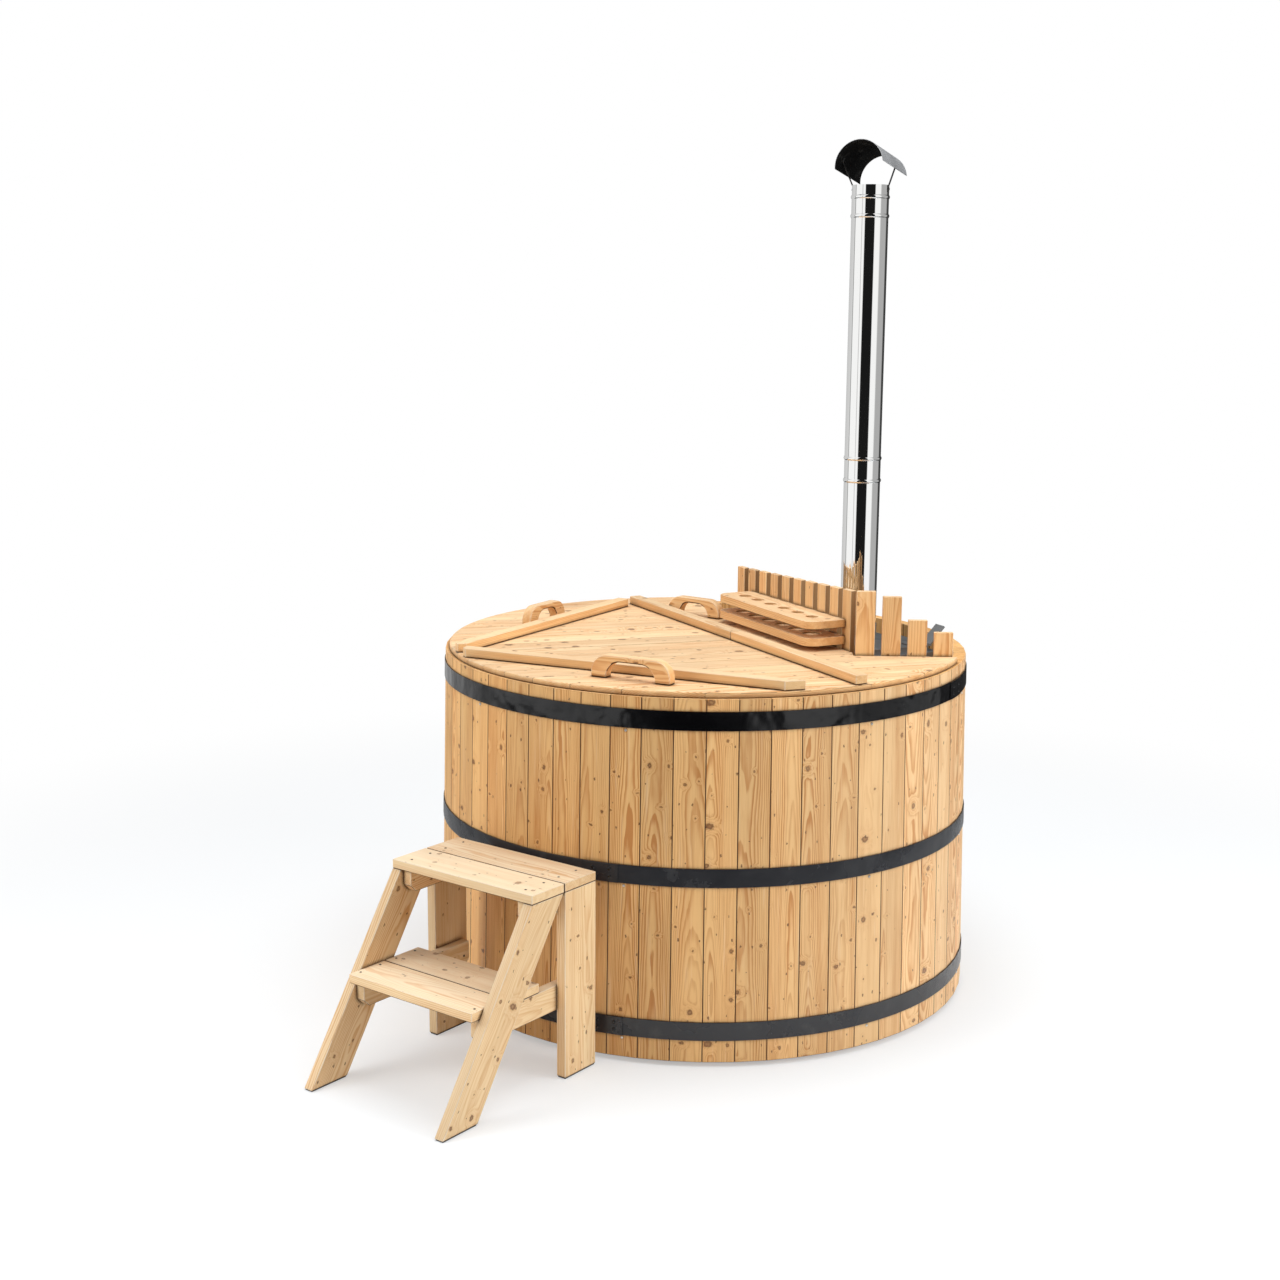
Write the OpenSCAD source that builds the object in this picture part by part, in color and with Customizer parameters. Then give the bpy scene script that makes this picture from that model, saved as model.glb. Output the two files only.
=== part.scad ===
// Wooden hot tub with an inside wood stove, a two-part lid and a two-step stool.
// Millimetres. The origin is on the tub's axis, on the ground. +Z is up, -Y is the front.

/* [Tub] */
// Distance across the flat stave faces at the bottom
tub_d = 1822; // [1500:2:2200]
// Length of a stave
stave_h = 1137; // [900:1:1250]
// Number of staves round the tub
stave_count = 57; // [40:1:72]
// Thickness of a stave
stave_t = 42; // [30:1:60]
// Millimetres of radius lost for each millimetre of height
stave_taper = 0.0213; // [0:0.0005:0.04]
// Open joint between two staves
stave_gap = 0.4; // [0.2:0.1:2]
// Direction of one stave joint, in degrees from +X
seam_angle = -89.4; // [-180:0.1:180]
// Height of the staves' lower ends above the ground
ground_gap = 15; // [5:1:40]

/* [Floor] */
// Height of the floor boards' underside above the ground
floor_z = 75; // [60:1:120]
// Thickness of a floor board
floor_t = 38; // [25:1:60]
// Width of a floor board
floor_board_w = 118; // [80:1:200]
// Depth of the groove that holds the floor
croze_d = 9; // [5:1:15]
// Width of a bearer under the floor
bearer_w = 70; // [45:1:120]
// Distance between two bearers
bearer_pitch = 520; // [300:5:600]

/* [Hoops] */
// Width of the steel strap
hoop_w = 58; // [30:1:90]
// Thickness of the steel strap
hoop_t = 2.7; // [1.5:0.1:5]
// Height of the lowest hoop's middle above the staves' lower ends
hoop_low_z = 100; // [80:1:200]
// Height of the middle hoop's middle
hoop_mid_z = 586; // [400:1:700]
// Height of the top hoop's middle
hoop_top_z = 1070; // [900:1:1100]
// Length of the overlap where a strap is riveted to itself
lap_len = 110; // [60:1:180]
// Radius of a rivet head
rivet_r = 6; // [3:0.5:9]

/* [Lid] */
// Thickness of a lid board
lid_t = 18; // [12:1:30]
// How far the lid's edge stays inside the staves' outer faces
lid_inset = 12; // [5:1:40]
// Direction of the lid boards, in degrees from +X
lid_angle = 18; // [0:1:45]
// Width of a lid board
lid_board_w = 111; // [80:1:160]
// Distance of the joint between the halves from the tub's axis
lid_split = 56; // [0:1:120]
// Width of a batten
batten_w = 45; // [30:1:70]
// Height of a batten
batten_h = 30; // [20:1:60]
// Gap between the lid and the fence
lid_gap = 6; // [3:1:15]
// Length of the front half's handle
handle_l = 276; // [220:1:400]
// Length of the back half's handles
back_handle_l = 234; // [220:1:300]
// Height of the front half's handle
handle_h = 72; // [60:1:120]
// Height of the back half's handles
back_handle_h = 66; // [60:1:120]
// Thickness of the board that a handle is sawn from
handle_t = 36; // [25:1:50]
// Width of a handle's foot
handle_foot = 53; // [40:1:80]
// Height of the wood above a handle's opening
handle_bridge = 19; // [15:1:30]

/* [Fence and shelves] */
// Room for the stove, from the side wing to the tub's wall
stove_room = 508.5; // [500:0.5:600]
// Distance of the fence's corner from the middle of the side wing's line
corner_back = 414; // [400:1:440]
// Direction of the side wing, in degrees from +X
wing_angle = 117.7; // [105:0.1:125]
// Thickness of a slat
slat_t = 20; // [15:1:30]
// Width of a slat of the side wing
side_slat_w = 52; // [40:1:62]
// Distance between two slats of the side wing
side_pitch = 81.2; // [70:0.2:100]
// Height of the side wing's first slat above the lid
side_rise = 202; // [150:1:300]
// How much shorter each next slat of the side wing is
side_drop = 2.6; // [0:0.1:6]
// Width of a slat of the front wing
front_slat_w = 62; // [40:1:72]
// Distance between two slats of the front wing
front_pitch = 85.5; // [76:0.5:100]
// How far the front wing stands in front of the corner
front_wing_gap = 60; // [50:1:90]
// Depth of a rail behind the slats
rail_t = 32; // [20:1:40]
// Height of a rail
rail_h = 60; // [40:1:90]
// Length of a cup shelf
shelf_l = 645; // [560:1:660]
// Depth of a cup shelf
shelf_w = 145; // [100:1:180]
// Thickness of a cup shelf
shelf_t = 27; // [18:1:35]
// Radius of a shelf's outer corners
shelf_r = 42; // [10:1:50]
// Diameter of a cup hole
cup_d = 45; // [30:1:90]
// Distance between two cup holes
cup_pitch = 93; // [91:1:100]

/* [Bench] */
// Height of the seat above the ground
seat_z = 500; // [350:1:600]
// Thickness of a seat board
seat_t = 28; // [20:1:40]
// Depth of the seat, from its inner edge to the tub's wall
seat_depth = 290; // [240:1:400]

/* [Stove and chimney] */
// Length of the stove
stove_l = 540; // [450:1:600]
// Width of the stove
stove_w = 280; // [240:1:290]
// Height of the stove's top above the ground
stove_top_z = 1130; // [1000:1:1145]
// Thickness of the stove's plates
plate_t = 4; // [2:0.5:8]
// Outer diameter of the chimney pipe
pipe_d = 127; // [100:1:150]
// Wall of the chimney pipe
pipe_wall = 1.5; // [1:0.1:4]
// Height of the chimney's joint above the ground
pipe_joint_z = 1705; // [1500:5:1900]
// Height of the chimney's top above the ground
pipe_top_z = 2705; // [2400:5:3000]
// Radius of the rain cap
cap_r = 86; // [80:1:120]
// Length of the rain cap
cap_l = 240; // [200:1:320]
// Height of the rain cap's lower edges above the chimney's top
cap_rise = 42; // [35:1:80]

/* [Stool] */
// Direction in which the stool stands, in degrees from the front towards the left
stool_side = 36.3; // [0:0.1:80]
// How far the stool is turned away from the tub's axis, in degrees
stool_turn = 1.1; // [-5:0.1:5]
// Space between the upper tread and the tub's widest part
stool_gap = 13; // [5:1:300]
// Width of the stool
stool_w = 566; // [450:1:700]
// Height of the upper tread's top above the ground
stool_h = 620; // [560:1:700]
// Width of a tread board
tread_w = 145; // [120:1:160]
// Thickness of a tread board
tread_t = 29; // [22:1:40]
// Gap between two tread boards
tread_gap = 5; // [2:1:10]
// Thickness of a leg
leg_t = 34; // [28:1:45]
// Width of a slanted leg's board
leg_w = 120; // [90:1:130]
// Distance of a slanted leg's foot in front of the upper tread's middle
leg_reach = 532; // [450:1:600]
// Height of the lower tread's top above the ground
step_z = 323; // [260:1:360]

/* [Hidden] */

$fn = 72;
fit = 0.3;                    // clearance between neighbours that do not move
split_gap = 3;                // space between the lid's halves
board_gap = 0.8;              // space between two boards
eps = 0.01;                   // overlap of cutting shapes
half_stave = 180 / stave_count;
rim_z = ground_gap + stave_h;
lid_z = rim_z + fit;
lid_top = lid_z + lid_t;
floor_top = floor_z + floor_t;

pine = [0.86, 0.68, 0.45];
pine_dark = [0.78, 0.58, 0.36];
steel_black = [0.12, 0.12, 0.13];
steel_grey = [0.55, 0.56, 0.57];
steel_bright = [0.8, 0.81, 0.82];
rubber_black = [0.08, 0.08, 0.08];

// Radius to the flat of a stave's outer and inner face at a height above the ground
function outer_r(z) = tub_d / 2 - stave_taper * (z - ground_gap);
// Directions to the side wing's line: away from the axis, and along it from the corner
wing_out = [cos(wing_angle - 90), sin(wing_angle - 90)];
wing_dir = [cos(wing_angle), sin(wing_angle)];
corner = (outer_r(rim_z) - stave_t - stove_room) * wing_out - corner_back * wing_dir;
function inner_r(z) = outer_r(z) - stave_t;
// Radius to the corner between two staves
function corner_r(z) = outer_r(z) / cos(half_stave);
// Half the length of a chord at a distance from the axis of a circle
function half_chord(r, d) = sqrt(max(r * r - d * d, 0));

// A rectangle with four round corners, centred
module rounded_rect(l, w, r) {
    square([l, w - 2 * r], center = true);
    square([l - 2 * r, w], center = true);
    for (x = [-1, 1])
        for (y = [-1, 1])
            translate([x * (l / 2 - r), y * (w / 2 - r)])
                circle(r);
}

// A board that lies flat, with its left lower end at the origin
module board(l, w, t) {
    cube([l, w, t]);
}

// ---- Tub ------------------------------------------------------------------

// One stave's section through the axis: radius to the right, height up
module stave_section() {
    croze_low = floor_z - fit;
    croze_high = floor_top + fit;
    polygon([
        [inner_r(ground_gap), ground_gap],
        [outer_r(ground_gap), ground_gap],
        [outer_r(rim_z), rim_z],
        [inner_r(rim_z), rim_z],
        [inner_r(croze_high), croze_high],
        [inner_r(croze_high) + croze_d, croze_high],
        [inner_r(croze_low) + croze_d, croze_low],
        [inner_r(croze_low), croze_low]
    ]);
}

// The wedge between two radial joints
module stave_wedge() {
    reach = tub_d;
    a = half_stave - asin(stave_gap / tub_d);
    linear_extrude(rim_z + ground_gap)
        polygon([[0, 0], [reach, -reach * tan(a)], [reach, reach * tan(a)]]);
}

module staves() {
    blank_w = tub_d * sin(half_stave) + stave_t;
    color(pine)
        for (i = [0:stave_count - 1])
            rotate(seam_angle + (2 * i + 1) * half_stave)
                intersection() {
                    rotate([90, 0, 0])
                        linear_extrude(blank_w, center = true)
                            stave_section();
                    stave_wedge();
                }
}

floor_r = inner_r(floor_z) + croze_d - 1;
drain_x = -300;
drain_y = 400;
drain_bore = 20;
drain_tube = 25;
drain_flange = 45;
flange_t = 4;

module floor_boards() {
    count = ceil(floor_r / floor_board_w);
    color(pine_dark)
        difference() {
            intersection() {
                translate([0, 0, floor_z])
                    cylinder(h = floor_t, r = floor_r);
                for (i = [-count:count - 1])
                    translate([-floor_r, i * floor_board_w + fit / 2, floor_z])
                        board(2 * floor_r, floor_board_w - fit, floor_t);
            }
            translate([drain_x, drain_y, floor_z - 1])
                cylinder(h = floor_t + 2, r = drain_tube + fit);
        }
}

module floor_bearers() {
    bearer_r = inner_r(ground_gap) - 2;
    color(pine_dark)
        for (i = [-1:1]) {
            x = i * bearer_pitch;
            l = half_chord(bearer_r, abs(x) + bearer_w / 2);
            translate([x - bearer_w / 2, -l, 0])
                cube([bearer_w, 2 * l, floor_z - fit]);
        }
}

// ---- Hoops ----------------------------------------------------------------

lap_angles = [-108.5, -109.8, -24];
hoop_heights = [hoop_low_z, hoop_mid_z, hoop_top_z];

// A strap that follows the taper, from angle a0 over an angle span
module strap(mid_z, layer, a0, span) {
    low = ground_gap + mid_z - hoop_w / 2;
    high = low + hoop_w;
    off = fit + layer * (hoop_t + fit);
    rotate(a0)
        rotate_extrude(angle = span, $fn = 180)
            polygon([
                [corner_r(low) + off, low],
                [corner_r(low) + off + hoop_t, low],
                [corner_r(high) + off + hoop_t, high],
                [corner_r(high) + off, high]
            ]);
}

function lap_span() = lap_len / corner_r(rim_z) * 180 / PI;
slit = 0.4;                   // angle between a strap's two ends, under the overlap

module hoop(i) {
    color(steel_black) {
        strap(hoop_heights[i], 0, lap_angles[i] + slit / 2, 360 - slit);
        strap(hoop_heights[i], 1, lap_angles[i] - lap_span() / 2, lap_span());
    }
}

// Two pairs of rivets through each overlap
module hoop_rivets() {
    head_h = 2;
    color(steel_black)
        for (i = [0:2])
            for (side = [-1, 1])
                for (up = [-1, 1]) {
                    z = ground_gap + hoop_heights[i] + up * hoop_w / 5;
                    r = corner_r(z) + 3 * fit + 2 * hoop_t;
                    rotate(lap_angles[i] + side * lap_span() / 4)
                        translate([r, 0, z])
                            rotate([0, 90 - atan(stave_taper), 0])
                                cylinder(h = head_h, r1 = rivet_r, r2 = rivet_r * 0.6);
                }
}

screw_angles = [-145, -105.2, -55, -15, 35, 85, 130, 175];

// Screws under the hoops, through the staves' faces
module hoop_screws() {
    head_r = 4.5;
    head_h = 2.5;
    shank_r = 2.2;
    shank_l = 28;
    color(steel_black)
        for (z0 = hoop_heights)
            for (a = screw_angles) {
                z = ground_gap + z0 - hoop_w / 2 - 2 * head_r;
                k = floor((a - seam_angle) / (2 * half_stave));
                rotate(seam_angle + (2 * k + 1) * half_stave)
                    translate([outer_r(z), 0, z])
                        rotate([0, 90 - atan(stave_taper), 0]) {
                            cylinder(h = head_h, r1 = head_r, r2 = head_r * 0.7);
                            translate([0, 0, -shank_l])
                                cylinder(h = shank_l, r = shank_r);
                        }
            }
}

// ---- Bench ----------------------------------------------------------------

bench_start = 100;
bench_step = 55;
bench_parts = 4;
bench_gap = 2;
seat_in = inner_r(seat_z) - seat_depth;
seat_rows = 3;
seat_gap = 6;

// The tub's inside from height z0 to z1, a little smaller than the staves leave it
module tub_inside(z0, z1) {
    translate([0, 0, z0])
        cylinder(h = z1 - z0, r1 = inner_r(z0) - fit, r2 = inner_r(z1) - fit, $fn = 180);
}

module bench_boards() {
    pitch = seat_depth / seat_rows;
    color(pine_dark)
        for (k = [0:bench_parts - 1])
            rotate(bench_start + (k + 0.5) * bench_step)
                intersection() {
                    tub_inside(seat_z - seat_t, seat_z);
                    translate([0, 0, seat_z - seat_t])
                        linear_extrude(seat_t)
                            polygon([
                                [bench_gap, 0],
                                [tub_d, tub_d * tan(bench_step / 2)],
                                [tub_d, -tub_d * tan(bench_step / 2)]
                            ]);
                    for (j = [0:seat_rows - 1])
                        translate([seat_in + j * pitch, -tub_d / 2, seat_z - seat_t])
                            cube([pitch - seat_gap, tub_d, seat_t]);
                }
}

module bench_supports() {
    panel_t = 30;
    arm_h = 90;
    foot_w = 70;
    inset = 30;
    top = seat_z - seat_t - fit;
    leg_in = seat_in / cos(bench_step / 2) + 12;
    wall = outer_r(floor_top);
    color(pine_dark)
        for (k = [0:bench_parts])
            rotate(bench_start + k * bench_step)
                intersection() {
                    tub_inside(floor_top + fit, top);
                    rotate([90, 0, 0])
                        linear_extrude(panel_t, center = true)
                            polygon([
                                [leg_in, floor_top],
                                [leg_in + foot_w, floor_top],
                                [leg_in + foot_w, top - arm_h - inset],
                                [leg_in + foot_w + inset, top - arm_h],
                                [wall, top - arm_h],
                                [wall, top],
                                [leg_in, top]
                            ]);
                }
}

// ---- Drain ----------------------------------------------------------------

module drain_fitting() {
    spigot_z = 20;
    spigot_l = 45;
    spigot_r = drain_bore + 2;
    color(steel_bright)
        translate([drain_x, drain_y, 0])
            rotate_extrude()
                polygon([
                    [drain_bore, spigot_z],
                    [spigot_r, spigot_z],
                    [spigot_r, spigot_z + spigot_l],
                    [drain_tube, spigot_z + spigot_l + 2],
                    [drain_tube, floor_top + fit],
                    [drain_flange, floor_top + fit],
                    [drain_flange, floor_top + fit + flange_t - 2],
                    [drain_flange - 3, floor_top + fit + flange_t],
                    [drain_bore + 2, floor_top + fit + flange_t],
                    [drain_bore, floor_top + fit + flange_t - 2]
                ]);
}

module drain_plug() {
    seat = floor_top + fit + flange_t;
    plug_d = 14;
    cap_h = 8;
    knob_r = 7;
    color(rubber_black)
        translate([drain_x, drain_y, seat])
            rotate_extrude()
                polygon([
                    [0, -plug_d],
                    [drain_bore - 2, -plug_d],
                    [drain_bore - fit, 0],
                    [drain_bore - fit, fit],
                    [drain_bore + 6, fit],
                    [drain_bore + 6, cap_h - 2],
                    [drain_bore + 4, cap_h],
                    [knob_r, cap_h],
                    [knob_r - 2, 2 * cap_h],
                    [knob_r, 3 * cap_h],
                    [0, 3 * cap_h]
                ]);
}

// ---- Fence and shelves ----------------------------------------------------

// Local +X runs along the side wing from the corner, local +Y faces the bathers
module wing_frame() {
    translate(corner)
        rotate(wing_angle)
            children();
}

side_slats = 10;
side_first = 42;
front_y = corner.y - front_wing_gap;
front_first = corner.x + 6;
front_rises = [213, 196, 119, 79];
side_foot = floor_top + fit;
rail_heights = [260, 680, 1050];

// Cuts what stands in the tub along its wall, up to the rim
module scribed() {
    intersection() {
        children();
        rotate_extrude($fn = 180)
            polygon([
                [0, side_foot], [inner_r(side_foot) - fit, side_foot],
                [inner_r(rim_z) - fit, rim_z + fit], [outer_r(rim_z), rim_z + fit],
                [outer_r(rim_z), 2 * rim_z], [0, 2 * rim_z]
            ]);
    }
}

module fence_side_slats() {
    color(pine)
        wing_frame()
            for (i = [0:side_slats - 1])
                translate([side_first + i * side_pitch - side_slat_w / 2, -slat_t, side_foot])
                    cube([side_slat_w, slat_t, lid_top + side_rise - i * side_drop - side_foot]);
}

module fence_front_slats() {
    color(pine)
        scribed()
            for (i = [0:len(front_rises) - 1])
                translate([front_first + i * front_pitch, front_y, side_foot])
                    cube([front_slat_w, slat_t, lid_top + front_rises[i] - side_foot]);
}

module fence_side_rails() {
    color(pine_dark)
        for (z = rail_heights)
            intersection() {
                tub_inside(z, z + rail_h);
                wing_frame()
                    translate([0, -slat_t - fit - rail_t, z])
                        cube([tub_d, rail_t, rail_h]);
            }
}

post_w = 42;

module fence_front_rails() {
    x0 = front_first + post_w + 3 * fit;
    color(pine_dark)
        for (z = rail_heights)
            intersection() {
                tub_inside(z, z + rail_h);
                translate([x0, front_y + slat_t + fit, z])
                    cube([tub_d, rail_t, rail_h]);
            }
}

module fence_post() {
    color(pine_dark)
        translate([front_first + fit, front_y + slat_t + fit, side_foot])
            cube([post_w, rail_t + 2, rail_heights[2] + rail_h - side_foot]);
}

shelf_start = 46;
upper_shelf_z = 1245;
lower_shelf_z = 1188;
cup_count = 6;

module shelf_outline() {
    translate([shelf_start + shelf_l / 2, fit + shelf_w / 2]) {
        translate([0, -shelf_w / 4])
            square([shelf_l, shelf_w / 2], center = true);
        rounded_rect(shelf_l, shelf_w, shelf_r);
    }
}

cup_hollow = 6;               // depth of the lower shelf's hollows under the cup holes
cup_foot_d = min(cup_d + 20, cup_pitch - 2);

// One shelf with a row of round cuts of a diameter, from a height up
module cup_shelf(z, d, from) {
    first = shelf_start + shelf_l / 2 - (cup_count - 1) / 2 * cup_pitch + 6;
    wing_frame()
        translate([0, 0, z])
            difference() {
                linear_extrude(shelf_t)
                    shelf_outline();
                for (i = [0:cup_count - 1])
                    translate([first + i * cup_pitch, fit + shelf_w / 2, from])
                        cylinder(h = shelf_t + 2, d = d);
            }
}

module cup_shelf_upper() {
    color(pine)
        cup_shelf(upper_shelf_z, cup_d, -1);
}

module cup_shelf_lower() {
    color(pine)
        cup_shelf(lower_shelf_z, cup_foot_d, shelf_t - cup_hollow);
}

// ---- Stove and chimney ----------------------------------------------------

stove_start = 60;
stove_side = 110;
stove_corner_r = 40;
skid_h = 40;
stove_z = floor_top + skid_h;
hatch_l = 210;
hatch_w = 220;
hatch_s = 90;
hatch_y = -stove_side - stove_w / 2;
hatch_rim_h = 18;
flue_s = 390;
flue_y = -268;

// Local origin at the stove's plan centre
module stove_frame() {
    wing_frame()
        translate([stove_start + stove_l / 2, hatch_y, 0])
            children();
}

module hatch_centre() {
    translate([hatch_s + hatch_l / 2 - stove_start - stove_l / 2, 0, 0])
        children();
}

module flue_frame() {
    wing_frame()
        translate([flue_s, flue_y, 0])
            children();
}

module stove_body() {
    pipe_hole = pipe_d / 2 - 4;
    color(steel_grey)
        difference() {
            union() {
                stove_frame()
                    translate([0, 0, stove_z + fit])
                        linear_extrude(stove_top_z - stove_z - fit)
                            rounded_rect(stove_l, stove_w, stove_corner_r);
                stove_frame()
                    hatch_centre()
                        translate([0, 0, stove_top_z - eps])
                            linear_extrude(hatch_rim_h + eps)
                                square([hatch_l + 2 * plate_t, hatch_w + 2 * plate_t], center = true);
            }
            stove_frame() {
                translate([0, 0, stove_z + fit + plate_t])
                    linear_extrude(stove_top_z - stove_z - fit - 2 * plate_t)
                        rounded_rect(stove_l - 2 * plate_t, stove_w - 2 * plate_t,
                                     stove_corner_r - plate_t);
                hatch_centre()
                    translate([0, 0, stove_top_z - 2 * plate_t])
                        linear_extrude(hatch_rim_h + 4 * plate_t)
                            square([hatch_l, hatch_w], center = true);
            }
            flue_frame()
                translate([0, 0, stove_top_z - 2 * plate_t])
                    cylinder(h = 4 * plate_t, r = pipe_hole);
        }
}

module stove_skids() {
    skid_w = 50;
    color(steel_grey)
        stove_frame()
            for (x = [-1, 1])
                translate([x * stove_l / 3 - skid_w / 2, -stove_w / 2 + stove_corner_r, floor_top + fit])
                    cube([skid_w, stove_w - 2 * stove_corner_r, skid_h - fit]);
}

hatch_z = stove_top_z + hatch_rim_h + fit;
hatch_over = 12;
pin_r = 4;
pin_y = hatch_w / 2 + hatch_over + pin_r + 4;
pin_z = hatch_z + pin_r;
knuckle_r = pin_r + 3;
knuckle_l = 40;

// The hatch with its knuckles. Hinged at the edge next to the side wing.
module fuel_hatch() {
    color(steel_grey)
        stove_frame()
            hatch_centre()
                difference() {
                    union() {
                        translate([-hatch_l / 2 - hatch_over, -hatch_w / 2 - hatch_over, hatch_z])
                            cube([hatch_l + 2 * hatch_over, hatch_w + 2 * hatch_over, plate_t]);
                        for (x = [-1, 1])
                            translate([x * hatch_l / 3 - knuckle_l / 2, hatch_w / 2, hatch_z])
                                cube([knuckle_l, pin_y - hatch_w / 2, plate_t]);
                        for (x = [-1, 1])
                            translate([x * hatch_l / 3, pin_y, pin_z])
                                rotate([0, 90, 0])
                                    cylinder(h = knuckle_l, r = knuckle_r, center = true);
                    }
                    translate([0, pin_y, pin_z])
                        rotate([0, 90, 0])
                            cylinder(h = hatch_l * 2, r = pin_r + 0.08, center = true);
                }
}

// The pin with its two ears, welded to the stove's top plate
module hatch_hinge_pin() {
    ear_t = 5;
    ear_r = pin_r + 2;
    ear_x = hatch_l / 3 + knuckle_l / 2 + 1;
    color(steel_grey)
        stove_frame()
            hatch_centre() {
                translate([0, pin_y, pin_z])
                    rotate([0, 90, 0])
                        cylinder(h = 2 * (ear_x + ear_t), r = pin_r, center = true);
                for (x = [-1, 1])
                    translate([x * (ear_x + ear_t / 2), pin_y, 0]) {
                        translate([-ear_t / 2, -ear_r, stove_top_z + fit])
                            cube([ear_t, 2 * ear_r, pin_z - stove_top_z - fit]);
                        translate([0, 0, pin_z])
                            rotate([0, 90, 0])
                                cylinder(h = ear_t, r = ear_r, center = true);
                    }
            }
}

// A flat bar across the hatch, bent up past its free edge
module hatch_handle() {
    bar_w = 50;
    bar_t = 5;
    bar_l = 90;
    rise = 56;
    out = 50;
    y0 = -hatch_w / 2 - hatch_over;
    color(steel_grey)
        stove_frame()
            hatch_centre()
                translate([(bar_w - hatch_l) / 2 - hatch_over + 2, 0, hatch_z + plate_t + fit])
                    rotate([90, 0, 90])
                        linear_extrude(bar_w, center = true)
                            polygon([
                                [y0 + bar_l, 0],
                                [y0 + bar_l, bar_t],
                                [y0 + bar_t, bar_t],
                                [y0 - out, rise + bar_t],
                                [y0 - out - bar_t, rise],
                                [y0, 0]
                            ]);
}

collar_h = 55;

module flue_collar() {
    color(steel_grey)
        flue_frame()
            translate([0, 0, stove_top_z + fit])
                difference() {
                    union() {
                        cylinder(h = collar_h, r = pipe_d / 2 + 3);
                        cylinder(h = plate_t, r = pipe_d / 2 + 14);
                    }
                    translate([0, 0, -1])
                        cylinder(h = collar_h + 2, r = pipe_d / 2 + fit);
                }
}

bead_r = 9;
bead_out = 3;                 // how far a bead stands out from the pipe
swage = 60;

// A ring-shaped bead on a pipe of radius r
module bead(r, z) {
    translate([0, 0, z])
        rotate_extrude()
            intersection() {
                translate([r - bead_r + bead_out, 0])
                    circle(bead_r);
                translate([r - 1, -bead_r])
                    square([bead_r, 2 * bead_r]);
            }
}

module chimney_lower() {
    r = pipe_d / 2;
    neck = r - pipe_wall - fit;
    color(steel_bright)
        flue_frame() {
            rotate_extrude()
                polygon([
                    [r - pipe_wall, stove_top_z + fit],
                    [r, stove_top_z + fit],
                    [r, pipe_joint_z - fit],
                    [neck, pipe_joint_z - fit],
                    [neck, pipe_joint_z + swage],
                    [neck - pipe_wall, pipe_joint_z + swage],
                    [neck - pipe_wall, pipe_joint_z - 4],
                    [r - pipe_wall, pipe_joint_z - 8]
                ]);
            bead(r, pipe_joint_z - bead_r);
        }
}

module chimney_upper() {
    r = pipe_d / 2;
    color(steel_bright)
        flue_frame() {
            translate([0, 0, pipe_joint_z])
                rotate_extrude()
                    translate([r - pipe_wall, 0])
                        square([pipe_wall, cap_collar_z - pipe_joint_z]);
            bead(r, pipe_joint_z + swage + bead_r);
        }
}

cap_collar_h = 112;
cap_collar_z = pipe_top_z - cap_collar_h;

// The chimney's top piece, which carries the rain cap and plugs into the upper pipe
module cap_collar() {
    r = pipe_d / 2;
    neck = r - pipe_wall - fit;
    color(steel_bright)
        flue_frame() {
            rotate_extrude()
                polygon([
                    [neck - pipe_wall, cap_collar_z - swage],
                    [neck, cap_collar_z - swage],
                    [neck, cap_collar_z + fit],
                    [r, cap_collar_z + fit],
                    [r, pipe_top_z],
                    [r - pipe_wall, pipe_top_z],
                    [r - pipe_wall, cap_collar_z + 8],
                    [neck - pipe_wall, cap_collar_z + 4]
                ]);
            bead(r, pipe_top_z - 40);
            bead(r, cap_collar_z + bead_r);
        }
}

cap_turn = -26;               // direction of the cap across the pipe, from +X
cap_tip = -9;                 // the cap's far end hangs lower
cap_roll = -8.5;              // its right edge is higher
cap_z = pipe_top_z + cap_rise;
cap_t = 1.5;

// Local +X across the cap, local +Y along it away from the front, local +Z up
module cap_frame() {
    translate([0, 0, cap_z])
        rotate([0, 0, cap_turn - wing_angle])
            rotate([cap_tip, 0, 0])
                rotate([0, cap_roll, 0])
                    children();
}

module rain_cap() {
    color(steel_black)
        flue_frame()
            cap_frame()
                rotate([90, 0, 0])
                    linear_extrude(cap_l, center = true)
                        difference() {
                            circle(cap_r, $fn = 96);
                            circle(cap_r - cap_t, $fn = 96);
                            translate([-2 * cap_r, -2 * cap_r])
                                square([4 * cap_r, 2 * cap_r]);
                        }
}

// Turns a point of the cap's own frame into the chimney's frame
function spin_y(p, a) = [p.x * cos(a) + p.z * sin(a), p.y, p.z * cos(a) - p.x * sin(a)];
function spin_x(p, a) = [p.x, p.y * cos(a) - p.z * sin(a), p.y * sin(a) + p.z * cos(a)];
function spin_z(p, a) = [p.x * cos(a) - p.y * sin(a), p.x * sin(a) + p.y * cos(a), p.z];
function cap_point(p) =
    spin_z(spin_x(spin_y(p, cap_roll), cap_tip), cap_turn - wing_angle) + [0, 0, cap_z];
function pipe_point(p) = spin_z(p, cap_turn - wing_angle);

strap_w = 12;
strap_t = 1.6;
strap_low = 24;
strap_tab = 9;                // angle of a strap's part that lies on the cap
// Each strap's side, its end's angle up the cap's flank and its place along the cap
strap_ends = [[-1, 34, -66], [1, 25, 33]];

// The four corners of a strap's section, on the pipe or in the cap
function pipe_ring(side, z) = let (r = pipe_d / 2 + fit) [
    for (c = [[0, -1], [0, 1], [1, 1], [1, -1]])
        pipe_point([side * (r + c.x * strap_t), c.y * strap_w / 2, z])
];
function cap_ring(side, a, y) = let (r = cap_r - cap_t - fit) [
    for (c = [[1, -1], [1, 1], [0, 1], [0, -1]])
        cap_point([side * (r - c.x * strap_t) * cos(a), y + c.y * strap_w / 2,
                   (r - c.x * strap_t) * sin(a)])
];

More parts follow.
